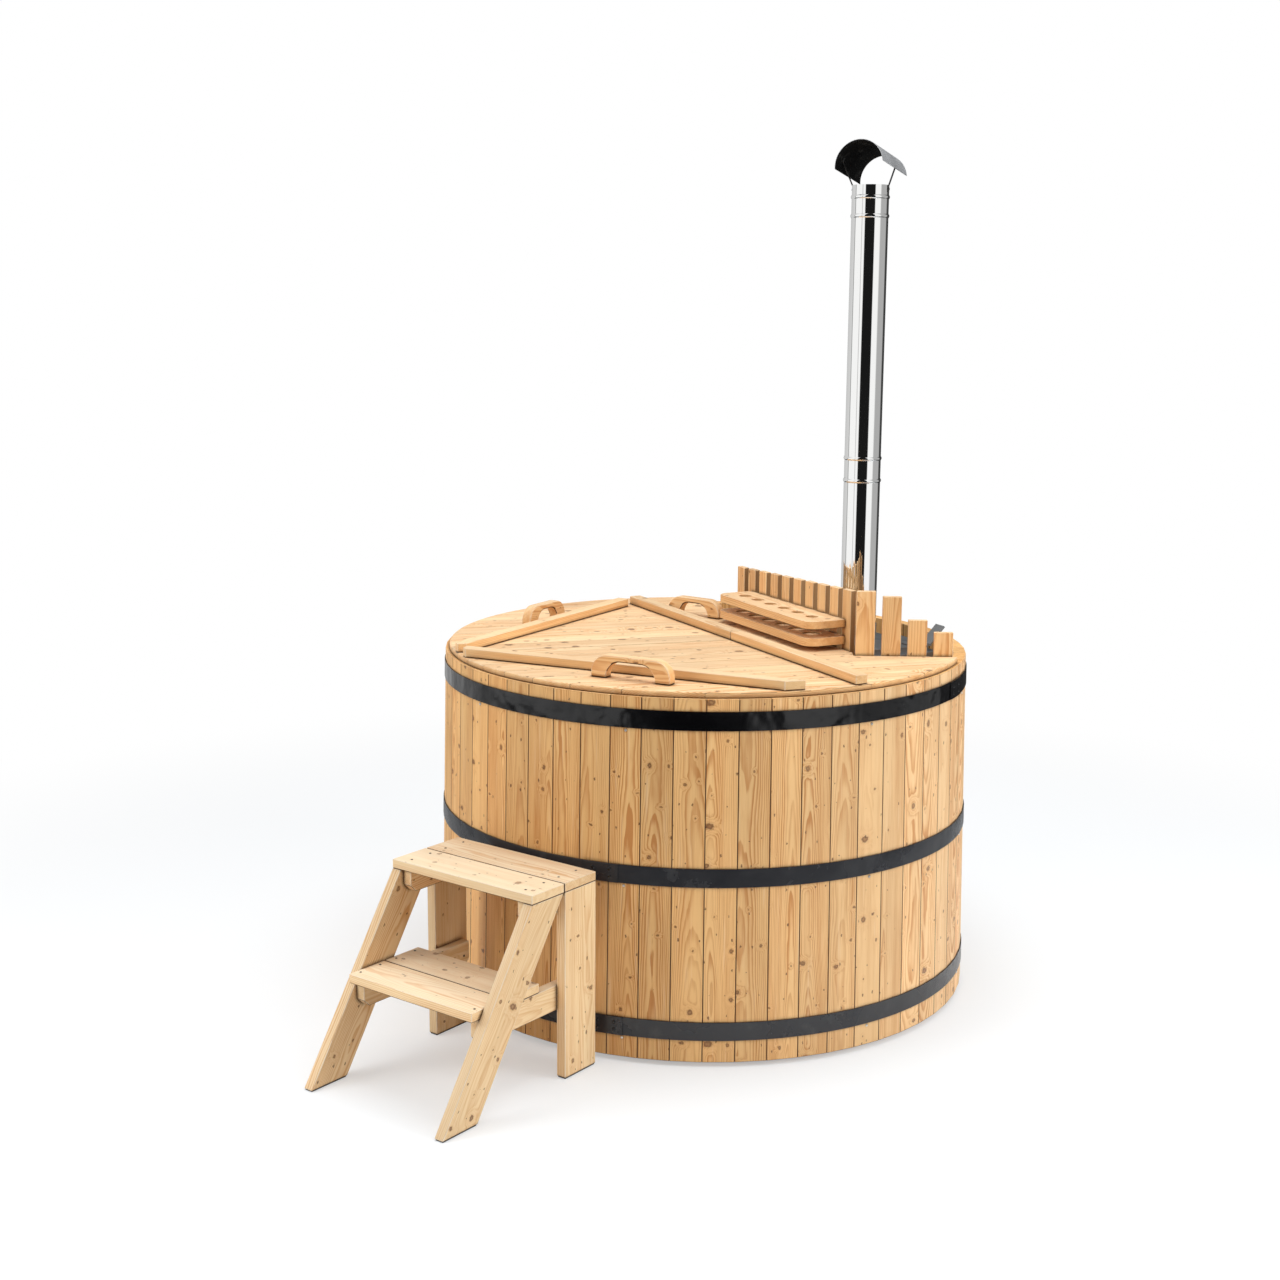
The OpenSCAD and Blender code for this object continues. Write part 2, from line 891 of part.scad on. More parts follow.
module strap_between(side, a, y) {
    rings = [
        pipe_ring(side, pipe_top_z - strap_low), pipe_ring(side, pipe_top_z - 4),
        cap_ring(side, a - strap_tab, y), cap_ring(side, a, y)
    ];
    n = len(rings);
    sides = [
        for (i = [0:n - 2])
            for (k = [0:3])
                let (a = 4 * i + k, b = 4 * i + (k + 1) % 4)
                    side > 0 ? [a, b, b + 4, a + 4] : [a + 4, b + 4, b, a]
    ];
    last = 4 * (n - 1);
    ends = side > 0
        ? [[3, 2, 1, 0], [last, last + 1, last + 2, last + 3]]
        : [[0, 1, 2, 3], [last + 3, last + 2, last + 1, last]];
    polyhedron([for (r = rings) for (p = r) p], concat(ends, sides));
}

module cap_straps() {
    color(steel_black)
        flue_frame()
            for (e = strap_ends)
                strap_between(e[0], e[1], e[2]);
}

module cap_rivets() {
    head_h = 2.5;
    head_r = 4;
    r = pipe_d / 2 + fit + strap_t;
    color(steel_black)
        flue_frame()
            rotate(cap_turn - wing_angle)
                for (side = [0, 180])
                    rotate(side)
                        translate([r + fit / 2, 0, pipe_top_z - strap_low / 2 - 2])
                            rotate([0, 90, 0])
                                cylinder(h = head_h, r = head_r);
}

// ---- Lid ------------------------------------------------------------------

lid_r = outer_r(rim_z) - lid_inset;

// What the lid leaves open for the stove and the fence, seen from above
module stove_opening() {
    big = 2 * tub_d;
    intersection() {
        translate([-big, front_y - lid_gap])
            square([2 * big, big]);
        translate(corner)
            rotate(wing_angle)
                translate([-big, -big])
                    square([2 * big, big + lid_gap]);
    }
    translate([front_first - lid_gap, front_y - lid_gap])
        square([big, -front_y]);
}

module lid_outline() {
    difference() {
        circle(lid_r, $fn = 180);
        stove_opening();
    }
}

// Boards on one side of the joint between the halves, side -1 in front and 1 behind
module lid_boards(side) {
    count = ceil(2 * lid_r / lid_board_w);
    board = lid_board_w - board_gap;
    for (i = [0:count - 1])
        translate([0, 0, lid_z])
            linear_extrude(lid_t)
                intersection() {
                    lid_outline();
                    lid_side(side);
                    rotate(lid_angle)
                        translate([-tub_d, side > 0 ? i * lid_board_w - lid_split
                                                    : -i * lid_board_w - lid_split - board])
                            square([2 * tub_d, board]);
                }
}

module lid_front_boards() {
    color(pine)
        lid_boards(-1);
}

module lid_back_boards() {
    color(pine)
        lid_boards(1);
}

// The half plane in front of (-1) or behind (1) the joint between the halves
module lid_side(side) {
    far = 2 * tub_d;
    rotate(lid_angle)
        translate([-far, side > 0 ? split_gap / 2 - lid_split : -far - lid_split - split_gap / 2])
            square([2 * far, far]);
}

// A batten from point a to point b, lying to the left (1) or right (-1) of that line
module batten_plan(a, b, side) {
    d = b - a;
    translate(a)
        rotate(atan2(d.y, d.x))
            translate([0, side > 0 ? 0 : -batten_w])
                square([norm(d), batten_w]);
}

batten_inset = 2;             // wood of the lid left free beyond a batten's end

// A point on the lid, by its direction from the axis and its distance inside the rim
function lid_point(a, inset) = (lid_r - inset) * [cos(a), sin(a)];

// A point on the lid, from the shelves' far outer corner: on along the wing, and out from it
function beyond_shelf(on, out) =
    corner + (shelf_start + shelf_l + on) * wing_dir - (shelf_w + out) * wing_out;

batten_front = [lid_point(206.4, -9), lid_point(-69.4, -62)];
cross_out = 82.7 + batten_w;
batten_cross = [beyond_shelf(465, cross_out), beyond_shelf(-1164, cross_out)];
batten_back = [lid_point(114.9, 184), lid_point(204.5, -20)];

module batten_solid() {
    translate([0, 0, lid_top + fit])
        linear_extrude(batten_h)
            children();
}

module lid_front_battens() {
    color(pine)
        batten_solid()
            intersection() {
                union() {
                    batten_plan(batten_front[0], batten_front[1], 1);
                    batten_plan(batten_cross[0], batten_cross[1], 1);
                }
                lid_side(-1);
                circle(lid_r - batten_inset, $fn = 180);
            }
}

module lid_back_battens() {
    color(pine)
        batten_solid()
            intersection() {
                union() {
                    batten_plan(batten_back[0], batten_back[1], -1);
                    batten_plan(batten_cross[0], batten_cross[1], 1);
                }
                lid_side(1);
                circle(lid_r - batten_inset, $fn = 180);
            }
}

// A handle of a length and a height seen from its side, standing on the X axis
module handle_profile(l, h) {
    shoulder = 55;
    arch_h = h - handle_bridge;
    arch_r = min(arch_h, l / 2 - handle_foot) - 4;
    difference() {
        intersection() {
            translate([l / 2, 0])
                rounded_rect(l, 2 * h, shoulder);
            square([l, h]);
        }
        translate([l / 2, 0])
            rounded_rect(l - 2 * handle_foot, 2 * arch_h, arch_r);
    }
}

// A handle of a length and a height, whose near face starts at a point and runs in a direction
module handle(start, direction, l, h) {
    translate([start.x, start.y, lid_top + fit])
        rotate([90, 0, direction])
            translate([0, 0, -handle_t])
                linear_extrude(handle_t)
                    handle_profile(l, h);
}

front_handle_in = 121;        // from the lid's rim to the front handle's start
left_handle_in = 229;         // from the lid's rim to the left back handle's start
right_handle_on = 234;        // from the shelves' end to the right back handle's start
right_handle_out = 80;        // from the shelves' front to the right back handle's start

module lid_front_handle() {
    color(pine)
        handle(lid_point(-117.7, front_handle_in), -26.5, handle_l, handle_h);
}

module lid_back_handles() {
    color(pine) {
        handle(lid_point(163.9, left_handle_in), 62.4, back_handle_l, back_handle_h);
        handle(beyond_shelf(right_handle_on, right_handle_out), wing_angle - 153.7,
               back_handle_l, back_handle_h);
    }
}

// ---- Stool ----------------------------------------------------------------

// Local origin on the ground under the upper tread's middle, local +Y towards the tub
module stool_frame() {
    rotate(-stool_side)
        translate([0, -outer_r(0) - stool_gap - tread_depth / 2, 0])
            rotate(stool_turn)
                children();
}

tread_depth = 2 * tread_w + tread_gap;
pad_t = 4;
leg_in_x = stool_w / 2 - leg_t;
under_tread = stool_h - tread_t - fit;
// Run of a slanted leg's front edge, from its foot to the upper tread
leg_run = leg_reach - tread_depth / 2;
leg_slope = atan((under_tread - pad_t) / leg_run);
leg_cut = leg_w / sin(leg_slope);
back_front_y = tread_gap / 2;

// A slanted leg seen from its side
module slanted_leg_profile() {
    y0 = -leg_reach;
    y1 = -tread_depth / 2;
    stop = back_front_y - 5;
    trim_z = pad_t + (stop - y0 - leg_cut) * tan(leg_slope);
    polygon(y1 + leg_cut > stop
        ? [[y0, pad_t], [y0 + leg_cut, pad_t], [stop, trim_z], [stop, under_tread], [y1, under_tread]]
        : [[y0, pad_t], [y0 + leg_cut, pad_t], [y1 + leg_cut, under_tread], [y1, under_tread]]);
}

module slanted_leg(side) {
    color(pine)
        stool_frame()
            translate([side > 0 ? leg_in_x : -stool_w / 2, 0, 0])
                rotate([90, 0, 90])
                    linear_extrude(leg_t)
                        slanted_leg_profile();
}

module back_leg(side) {
    color(pine)
        stool_frame()
            translate([side > 0 ? leg_in_x : -stool_w / 2, back_front_y, pad_t])
                cube([leg_t, tread_w, under_tread - pad_t]);
}

module stool_top_tread() {
    color(pine)
        stool_frame()
            for (y = [-tread_depth / 2, tread_gap / 2])
                translate([-stool_w / 2, y, stool_h - tread_t])
                    cube([stool_w, tread_w, tread_t]);
}

// The lower tread's front edge, and how far it stands out from the slanted legs
step_out = 33;
step_front = -leg_reach + (step_z - tread_t) / tan(leg_slope) - step_out;

module stool_lower_tread() {
    color(pine)
        stool_frame()
            for (i = [0:1])
                translate([-leg_in_x + fit, step_front + i * (tread_w + tread_gap), step_z - tread_t])
                    cube([2 * leg_in_x - 2 * fit, tread_w, tread_t]);
}

cleat_h = 70;
cleat_t = 32;
cleat_cut = 22;
rail_drop = 80;

// A bar seen from its side, with its lower corners cut off
module bar_profile(y0, y1, z1, h, cut) {
    polygon([
        [y0, z1], [y0, z1 - h + cut], [y0 + cut, z1 - h],
        [y1 - cut, z1 - h], [y1, z1 - h + cut], [y1, z1]
    ]);
}

module inside_bar(y0, y1, z1, h) {
    for (side = [-1, 1])
        translate([side > 0 ? leg_in_x - cleat_t - fit : -leg_in_x + fit, 0, 0])
            rotate([90, 0, 90])
                linear_extrude(cleat_t)
                    bar_profile(y0, y1, z1, h, cleat_cut);
}

module stool_top_cleats() {
    color(pine)
        stool_frame()
            inside_bar(-tread_depth / 2 + 12, tread_depth / 2 - 12, under_tread, cleat_h);
}

module stool_rails() {
    color(pine)
        stool_frame()
            inside_bar(step_front + 30, tread_depth / 2 - 25, step_z - tread_t - fit, rail_drop);
}

screw_in = 18;
screw_r = 4;

// Screw heads on the treads, two at each board end, and on the bars inside the legs
module stool_screws() {
    head_h = 1.2;
    shank_l = 45;
    color(steel_black)
        stool_frame() {
            for (x = [-1, 1])
                for (y = [-tread_depth / 2, tread_gap / 2])
                    for (q = [0.22, 0.78])
                        translate([x * (stool_w / 2 - leg_t - screw_in), y + q * tread_w, stool_h])
                            screw(head_h, shank_l);
            for (x = [-1, 1])
                for (i = [0:1])
                    for (q = [0.22, 0.78])
                        translate([x * (leg_in_x - screw_in),
                                   step_front + i * (tread_w + tread_gap) + q * tread_w, step_z])
                            screw(head_h, shank_l);
            for (x = [-1, 1])
                for (y = [back_front_y + 40, back_front_y + 95])
                    translate([x * (leg_in_x - cleat_t - fit), y, step_z - tread_t - 45])
                        rotate([0, -x * 90, 0])
                            screw(head_h, shank_l);
        }
}

module screw(head_h, shank_l) {
    cylinder(h = head_h, r1 = screw_r, r2 = screw_r * 0.75);
    translate([0, 0, -shank_l])
        cylinder(h = shank_l, r = screw_r / 2);
}

module stool_pads() {
    inset = 3;
    color(rubber_black)
        stool_frame()
            for (side = [-1, 1]) {
                x0 = side > 0 ? leg_in_x : -stool_w / 2;
                translate([x0 + inset, -leg_reach + inset, 0])
                    cube([leg_t - 2 * inset, leg_cut - 2 * inset, pad_t - fit / 3]);
                translate([x0 + inset, back_front_y + inset, 0])
                    cube([leg_t - 2 * inset, tread_w - 2 * inset, pad_t - fit / 3]);
            }
}

// ---- Assembly -------------------------------------------------------------

staves();
floor_boards();
floor_bearers();
hoop(0);  // hoop_bottom
hoop(1);  // hoop_middle
hoop(2);  // hoop_top
hoop_rivets();
hoop_screws();
bench_boards();
bench_supports();
drain_fitting();
drain_plug();
stove_body();
stove_skids();
fuel_hatch();
hatch_handle();
hatch_hinge_pin();
flue_collar();
chimney_lower();
chimney_upper();
cap_collar();
rain_cap();
cap_straps();
cap_rivets();
fence_side_slats();
fence_front_slats();
fence_side_rails();
fence_front_rails();
fence_post();
cup_shelf_upper();
cup_shelf_lower();
lid_front_boards();
lid_front_battens();
lid_front_handle();
lid_back_boards();
lid_back_battens();
lid_back_handles();
slanted_leg(-1);  // stool_left_leg
slanted_leg(1);  // stool_right_leg
back_leg(-1);  // stool_back_left_leg
back_leg(1);  // stool_back_right_leg
stool_top_tread();
stool_lower_tread();
stool_top_cleats();
stool_rails();
stool_screws();
stool_pads();
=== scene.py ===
"""Looks of a wooden hot tub: eased and knotty pine boards, black steel hoops, a bright
chimney, a grey stove and a plain pale studio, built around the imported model."""

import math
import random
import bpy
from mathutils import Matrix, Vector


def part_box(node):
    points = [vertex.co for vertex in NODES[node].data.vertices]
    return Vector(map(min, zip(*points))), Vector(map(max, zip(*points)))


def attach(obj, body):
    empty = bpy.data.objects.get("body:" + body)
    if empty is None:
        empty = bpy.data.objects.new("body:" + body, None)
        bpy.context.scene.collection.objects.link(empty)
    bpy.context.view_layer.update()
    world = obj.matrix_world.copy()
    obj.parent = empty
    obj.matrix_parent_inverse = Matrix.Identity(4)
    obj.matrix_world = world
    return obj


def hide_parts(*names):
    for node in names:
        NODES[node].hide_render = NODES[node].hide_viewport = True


bl_info = {
    "name": "Wooden Hot Tub",
    "version": (1, 0, 0),
    "blender": (4, 5, 0),
    "location": "View3D > Sidebar > Hot Tub",
    "description": "Dresses the packed hot tub with wood, steel and a studio",
    "category": "Object",
}

import bmesh
import bpy
import numpy as np
from mathutils import Matrix, Vector

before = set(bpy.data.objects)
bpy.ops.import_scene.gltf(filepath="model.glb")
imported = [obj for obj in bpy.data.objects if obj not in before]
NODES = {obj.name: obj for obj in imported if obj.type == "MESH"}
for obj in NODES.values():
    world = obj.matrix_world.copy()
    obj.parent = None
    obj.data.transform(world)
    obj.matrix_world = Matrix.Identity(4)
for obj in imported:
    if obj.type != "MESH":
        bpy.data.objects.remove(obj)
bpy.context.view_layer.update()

# Directions that the tub's maker sets out by, seen from above
LID_DIRECTION = math.radians(18)
WING_DIRECTION = math.radians(117.7)
SHEEN_SIDE = Vector((0.95, -0.31, 0))     # the side whose staves get a painted sheen, paler the more they face it

# Wood, with lengths in metres
SOFT_EDGE = 0.003         # rounding of the lid's boards and battens
SHELF_EDGE = 0.002
HANDLE_EDGE = 0.004
STOOL_EDGE = 0.0025
LID_RIM = 0.008           # rounding of the lid's upper rim
EDGE_HIGHLIGHT = 1.2           # painted highlight: how much paler a rounded edge is than a face in full painted sheen
GAP_SIDE_SHADE = 0.66         # painted shade on the slats' narrow sides, which face into the gaps between them
GAP_REACH = 0.013         # how far from a gap between boards the painted shade reaches

HEART_ASIDE = 0.035       # where a board may lie beside, above and along its log's heart
HEART_DEPTH = (0.03, 0.10)
LOG_LENGTH = 60
SQUARE_ON = 0.9           # cosines: of a side in painted shade, of a face that looks down or up, and of a board's broad face
FACES_DOWN = -0.3         # board's broad face
FACES_UP = 0.5
BROAD_FACE = 0.55
UNSHADED = 0.1               # an edge with less painted shade than this gets a painted highlight instead
UPRIGHT_SEAM = 4          # how much darker an upright joint is than one that faces up
END_FALL = 1.6            # how fast the painted shade of a joint fades towards a board's end

# Steel and rubber
METAL_EDGE = 0.0005
PLUG_EDGE = 0.0006
PLATE_EDGE = 0.0008
RIVET_EDGE = 0.0003
STRAP_EDGE = 0.0002
TINT_FOOT = 1.13          # height below which the pipe's heat tint is darkest
CAP_HEART = 0.02          # height above the rain cap's lip of the point that its inside faces

# Mesh
SHARP = math.radians(30)          # corners sharper than this are rounded
SMOOTH_BELOW = math.radians(35)   # corners blunter than this are shaded smooth
FACET = math.radians(0.4)         # facets flatter than this are joined
SAME_POINT = 2e-5
RIM_DEPTH = 1e-4                  # how far below the top and inside the reach a rim's edge may lie
RIM_BAND = 0.004

X_AXIS = Vector((1, 0, 0))
Y_AXIS = Vector((0, 1, 0))
Z_AXIS = Vector((0, 0, 1))


def level(angle):
    """The level unit vector in a direction, from +X towards +Y."""
    return Vector((math.cos(angle), math.sin(angle), 0))


# ---- Settings ----------------------------------------------------------------------------


def colour_prop(name, description, default):
    return bpy.props.FloatVectorProperty(
        name=name, description=description, default=default, subtype="COLOR", size=3, min=0, max=1
    )


def length_prop(name, description, default, low, high):
    return bpy.props.FloatProperty(
        name=name, description=description, default=default, min=low, max=high,
        unit="LENGTH", precision=4,
    )


def angle_prop(name, description, degrees):
    return bpy.props.FloatProperty(
        name=name, description=description, default=math.radians(degrees), subtype="ANGLE"
    )


def power_prop(name, side, default):
    return bpy.props.FloatProperty(
        name=name, description="Power of the lamp " + side, default=default, min=0, unit="POWER"
    )


class HotTubWood(bpy.types.PropertyGroup):
    """Sizes and colours of the wood"""

    ease: length_prop("Eased edge", "Rounding along a board's edges", 0.0016, 0.0003, 0.004)
    ring_pitch: length_prop(
        "Ring pitch", "Distance between two growth rings", 0.0042, 0.001, 0.01)
    knot_share: bpy.props.FloatProperty(
        name="Knots", description="Share of the possible places that hold a knot",
        default=0.72, min=0, max=1, subtype="FACTOR",
    )
    stave: colour_prop("Staves", "Spring wood of the staves", (0.795, 0.470, 0.185))
    lid: colour_prop(
        "Lid", "Spring wood of the lid, the fence and the shelves", (0.83, 0.530, 0.252))
    stool: colour_prop("Stool", "Spring wood of the stool", (0.82, 0.60, 0.345))
    # Painted sheen: the pale colour that faces looking up or towards the sheen's side, and rounded
    # edges, are blended towards
    sheen_colour: colour_prop("Bleached", "Wood that faces the sun, or is worn", (0.78, 0.65, 0.49))
    seam: colour_prop("Seam", "Shaded depth of the joints between boards", (0.090, 0.037, 0.012))
    inside: colour_prop("Inside", "Spring wood inside the tub", (0.62, 0.38, 0.17))
    knot: colour_prop("Knot", "Heart of a knot", (0.13, 0.045, 0.013))


class HotTubMetal(bpy.types.PropertyGroup):
    """Colours of the steel pieces"""

    hoop: colour_prop("Hoops", "Black gloss paint of the hoops", (0.0025, 0.0025, 0.003))
    pipe: colour_prop("Chimney", "Bright stainless steel", (0.90, 0.90, 0.89))
    stove: colour_prop("Stove", "Grey steel plate", (0.30, 0.31, 0.32))
    cap: colour_prop("Rain cap", "Outside of the rain cap", (0.55, 0.55, 0.56))
    # Colour of the rain cap's inside faces
    cap_underside: colour_prop("Soot", "Sooted underside of the rain cap", (0.004, 0.004, 0.004))
    drain: colour_prop("Drain", "Steel of the drain fitting", (0.60, 0.60, 0.60))
    rubber: colour_prop("Rubber", "Plug and foot pads", (0.022, 0.022, 0.022))
    tint_top: length_prop("Heat tint", "Height up to which the pipe is tinted", 1.20, 1.15, 2.0)


class HotTubStudio(bpy.types.PropertyGroup):
    """Floor, lamps and camera"""

    floor: colour_prop("Floor", "Colour of the floor", (0.845, 0.862, 0.880))
    fill: bpy.props.FloatProperty(
        name="Sky", description="Strength of the light from all round", default=0.75, min=0, max=2
    )
    right_power: power_prop("Right lamp", "on the right", 138)
    left_power: power_prop("Left lamp", "on the left", 102)
    top_power: power_prop("Top lamp", "overhead", 142)
    cool: colour_prop(
        "Lamp colour", "Slightly cool white of the right and the top lamp", (0.94, 0.98, 1.0))
    camera_place: bpy.props.FloatVectorProperty(
        name="Camera", description="Place of the camera", default=(0, -6.127, 2.323),
        subtype="TRANSLATION",
    )
    camera_pitch: angle_prop("Pitch", "How far the camera looks down", 10.74)
    camera_yaw: angle_prop("Yaw", "How far the camera turns to the left", 2.085)
    camera_roll: angle_prop("Roll", "How far the camera tilts", 0.407)
    lens: bpy.props.FloatProperty(
        name="Lens", description="Focal length in millimetres on a 36 mm sensor",
        default=50.82, min=10,
    )


# ---- Shader helpers ------------------------------------------------------------------------


def node(tree, kind, inputs=(), **settings):
    """Adds a shader node. inputs maps a socket's name or number to a value or to an output."""
    made = tree.nodes.new("ShaderNode" + kind)
    for name, value in settings.items():
        setattr(made, name, value)
    for key, value in dict(inputs).items():
        if isinstance(value, bpy.types.NodeSocket):
            tree.links.new(value, made.inputs[key])
        else:
            made.inputs[key].default_value = value
    return made


def calc(tree, operation, a, b=0.0, c=0.0, clamp=False):
    """One sum on numbers."""
    return node(
        tree, "Math", {0: a, 1: b, 2: c}, operation=operation, use_clamp=clamp
    ).outputs[0]


def rest_of(tree, share):
    """What a share leaves of 1."""
    return calc(tree, "SUBTRACT", 1.0, share)


def scaled(tree, value, factor, start):
    """value times factor, plus start."""
    return calc(tree, "MULTIPLY_ADD", value, factor, start)


def spread(tree, value, low, high, to_low=0.0, to_high=1.0):
    """Maps low..high smoothly to to_low..to_high."""
    made = node(
        tree, "MapRange",
        {"Value": value, "From Min": low, "From Max": high, "To Min": to_low, "To Max": to_high},
        interpolation_type="SMOOTHSTEP",
    )
    return made.outputs["Result"]


def blend(tree, share, a, b, kind="MIX"):
    """Mixes two colours."""
    made = node(tree, "Mix", {0: share, 6: a, 7: b}, data_type="RGBA", blend_type=kind)
    return made.outputs[2]


def ramp(tree, share, stops):
    """A colour ramp of (position, colour or grey value) stops."""
    made = node(tree, "ValToRGB", {0: share})
    elements = made.color_ramp.elements
    for spot, (position, colour) in enumerate(stops):
        element = elements[spot] if spot < 2 else elements.new(position)
        element.position = position
        element.color = rgba((colour,) * 3 if isinstance(colour, float) else colour)
    return made.outputs[0]


def noise(tree, vector, scale, detail=2.0, roughness=0.5):
    return node(
        tree, "TexNoise",
        {"Vector": vector, "Scale": scale, "Detail": detail, "Roughness": roughness},
    ).outputs["Fac"]


def vectors(tree, operation, a, b):
    """One sum on vectors."""
    return node(tree, "VectorMath", {0: a, 1: b}, operation=operation).outputs[0]


def stretched(tree, vector, factors):
    """A vector multiplied axis by axis."""
    return vectors(tree, "MULTIPLY", vector, factors)


def length(tree, vector):
    return node(tree, "VectorMath", {0: vector}, operation="LENGTH").outputs["Value"]


def stretched_noise(tree, vector, factors, detail=2.0, roughness=0.5):
    """Noise with its own scale along each axis."""
    return noise(tree, stretched(tree, vector, factors), 1.0, detail, roughness)


def sway(tree, vector, factors, detail, amount):
    """A wandering step across the log, up to half of amount each way."""
    wave = node(tree, "TexNoise", {
        "Vector": stretched(tree, vector, factors), "Scale": 1.0, "Detail": detail})
    centred = vectors(tree, "SUBTRACT", wave.outputs["Color"], (0.5, 0.5, 0.5))
    return stretched(tree, centred, (amount, amount, 0.0))


def rgba(colour):
    return (*colour, 1.0)


def group_tree(name, inputs, outputs):
    """A node group with named sockets, and its input and output nodes."""
    tree = bpy.data.node_groups.new(name, "ShaderNodeTree")
    for label, kind, default in inputs:
        socket = tree.interface.new_socket(label, in_out="INPUT", socket_type="NodeSocket" + kind)
        if default is not None:
            socket.default_value = default
    for label, kind in outputs:
        tree.interface.new_socket(label, in_out="OUTPUT", socket_type="NodeSocket" + kind)
    return tree, tree.nodes.new("NodeGroupInput").outputs, tree.nodes.new("NodeGroupOutput")


def place_group(tree, name, inputs):
    """Puts a shared effect into a material and returns its outputs."""
    return node(tree, "Group", inputs, node_tree=bpy.data.node_groups[name]).outputs


def bumped(tree, height, distance, strength=1.0, under=None):
    """A normal bent by a height. under is a normal to start from."""
    inputs = {"Height": height, "Distance": distance, "Strength": strength}
    if under is not None:
        inputs["Normal"] = under
    return node(tree, "Bump", inputs).outputs["Normal"]


def stored(tree, name, output="Fac"):
    """A value that the mesh holds for its material."""
    return node(tree, "Attribute", attribute_name=name).outputs[output]


def empty_tree(owner):
    """The cleared nodes of a material or a world."""
    owner.use_nodes = True
    owner.node_tree.nodes.clear()
    return owner.node_tree


def new_material(name):
    """The nodes of a new material with nothing but a Principled BSDF and its output."""
    tree = empty_tree(bpy.data.materials.new(name))
    shader = node(tree, "BsdfPrincipled")
    node(tree, "OutputMaterial", {"Surface": shader.outputs[0]})
    return tree, shader


def connect(tree, shader, **sockets):
    """Links outputs to the shader's sockets, which are named with _ for a space."""
    for key, value in sockets.items():
        tree.links.new(value, shader.inputs[key.replace("_", " ")])


# ---- Shared effects ------------------------------------------------------------------------


# Knots and pin knots: places to the metre across and along the log, how a place is squashed
# along it, how ragged an edge is and at which scale, and how a radius grows from the least
KNOT_PLACES = (12.0, 7.5)
KNOT_SQUASH = 0.8
KNOT_RAGGED, KNOT_RAG_SCALE = 0.009, 130
KNOT_LEAST, KNOT_MORE = 0.0026, 0.0070
PIN_PLACES = (26.0, 12.0)
PIN_SQUASH = 0.55
PIN_RAGGED, PIN_RAG_SCALE = 0.007, 260
PIN_LEAST, PIN_MORE = 0.0006, 0.0024
FLARED_ABOVE = 0.68       # the chance above which a knot is cut slanting and looks wide
FLARE = 0.38              # how much wider it then looks, as the share that its width is cut by
HEART_WANDER = 0.05       # how far the log's heart wanders along the board
RING_RIPPLE = 0.009
KNOT_BULGE = 0.016        # how far the rings bulge round a knot
PALE_STREAK = (0.95, 0.80, 0.58)


def knot_places(tree, axes, places, squash):
    """Scatters places over a board: the way from the nearest, in metres, and its three chances."""
    across, along = places
    cells = node(tree, "CombineXYZ", {
        0: calc(tree, "MULTIPLY", axes[0], across), 1: calc(tree, "MULTIPLY", axes[2], along),
    }).outputs[0]
    near = node(
        tree, "TexVoronoi", {"Vector": cells, "Scale": 1.0}, voronoi_dimensions="2D"
    ).outputs
    away = vectors(tree, "SUBTRACT", cells, near["Position"])
    away = stretched(tree, away, (1 / across, squash / along, 0))
    return away, node(tree, "SeparateColor", {0: near["Color"]}).outputs


def ragged_reach(tree, away, grain, scale, ragged):
    """The distance from a knot's middle, made uneven."""
    uneven = scaled(tree, noise(tree, grain, scale, 2), ragged, -ragged / 2)
    return calc(tree, "ADD", length(tree, away), uneven)


def log_knots(tree, given, axes):
    """The knots of a log. Gives the share of knot at a place, how far the fibres round it are
    pushed aside, how pale the wood beside it is, and how dark the knot is from its middle out."""
    away, chance = knot_places(tree, axes, KNOT_PLACES, KNOT_SQUASH)
    flare = scaled(tree, calc(tree, "GREATER_THAN", chance[2], FLARED_ABOVE), -FLARE, 1.0)
    flare = node(tree, "CombineXYZ", {0: flare, 1: 1.0, 2: 1.0}).outputs[0]
    reach = ragged_reach(
        tree, stretched(tree, away, flare), given["Grain"], KNOT_RAG_SCALE, KNOT_RAGGED)
    size = scaled(tree, calc(tree, "POWER", chance[0], 2.6), KNOT_MORE, KNOT_LEAST)
    size = calc(tree, "MULTIPLY", size, given["Knot size"])
    reach = calc(tree, "DIVIDE", reach, size)
    there = calc(tree, "LESS_THAN", chance[1], given["Knot share"])
    inside = calc(tree, "MULTIPLY", there, rest_of(tree, spread(tree, reach, 0.55, 1.15)))
    flow = calc(tree, "MULTIPLY", there, rest_of(tree, spread(tree, reach, 0.2, 5.0)))
    glow = calc(tree, "MULTIPLY", spread(tree, reach, 1.1, 1.8), rest_of(
        tree, spread(tree, reach, 1.8, 3.2)))
    glow = calc(tree, "MULTIPLY", calc(tree, "MULTIPLY", glow, there), 0.5)
    core = spread(tree, reach, 0.0, 0.95, 0.55, 1.0)
    return inside, flow, glow, core


def pin_knots(tree, given, axes):
    """Pin knots and bark pockets, small and ragged."""
    away, chance = knot_places(tree, axes, PIN_PLACES, PIN_SQUASH)
    reach = ragged_reach(tree, away, given["Grain"], PIN_RAG_SCALE, PIN_RAGGED)
    size = calc(
        tree, "MULTIPLY", scaled(tree, chance[0], PIN_MORE, PIN_LEAST), given["Knot size"])
    there = calc(tree, "LESS_THAN", chance[1], calc(tree, "MULTIPLY", given["Knot share"], 0.6))
    return calc(tree, "MULTIPLY", there, rest_of(
        tree, spread(tree, calc(tree, "DIVIDE", reach, size), 0.7, 1.3)))


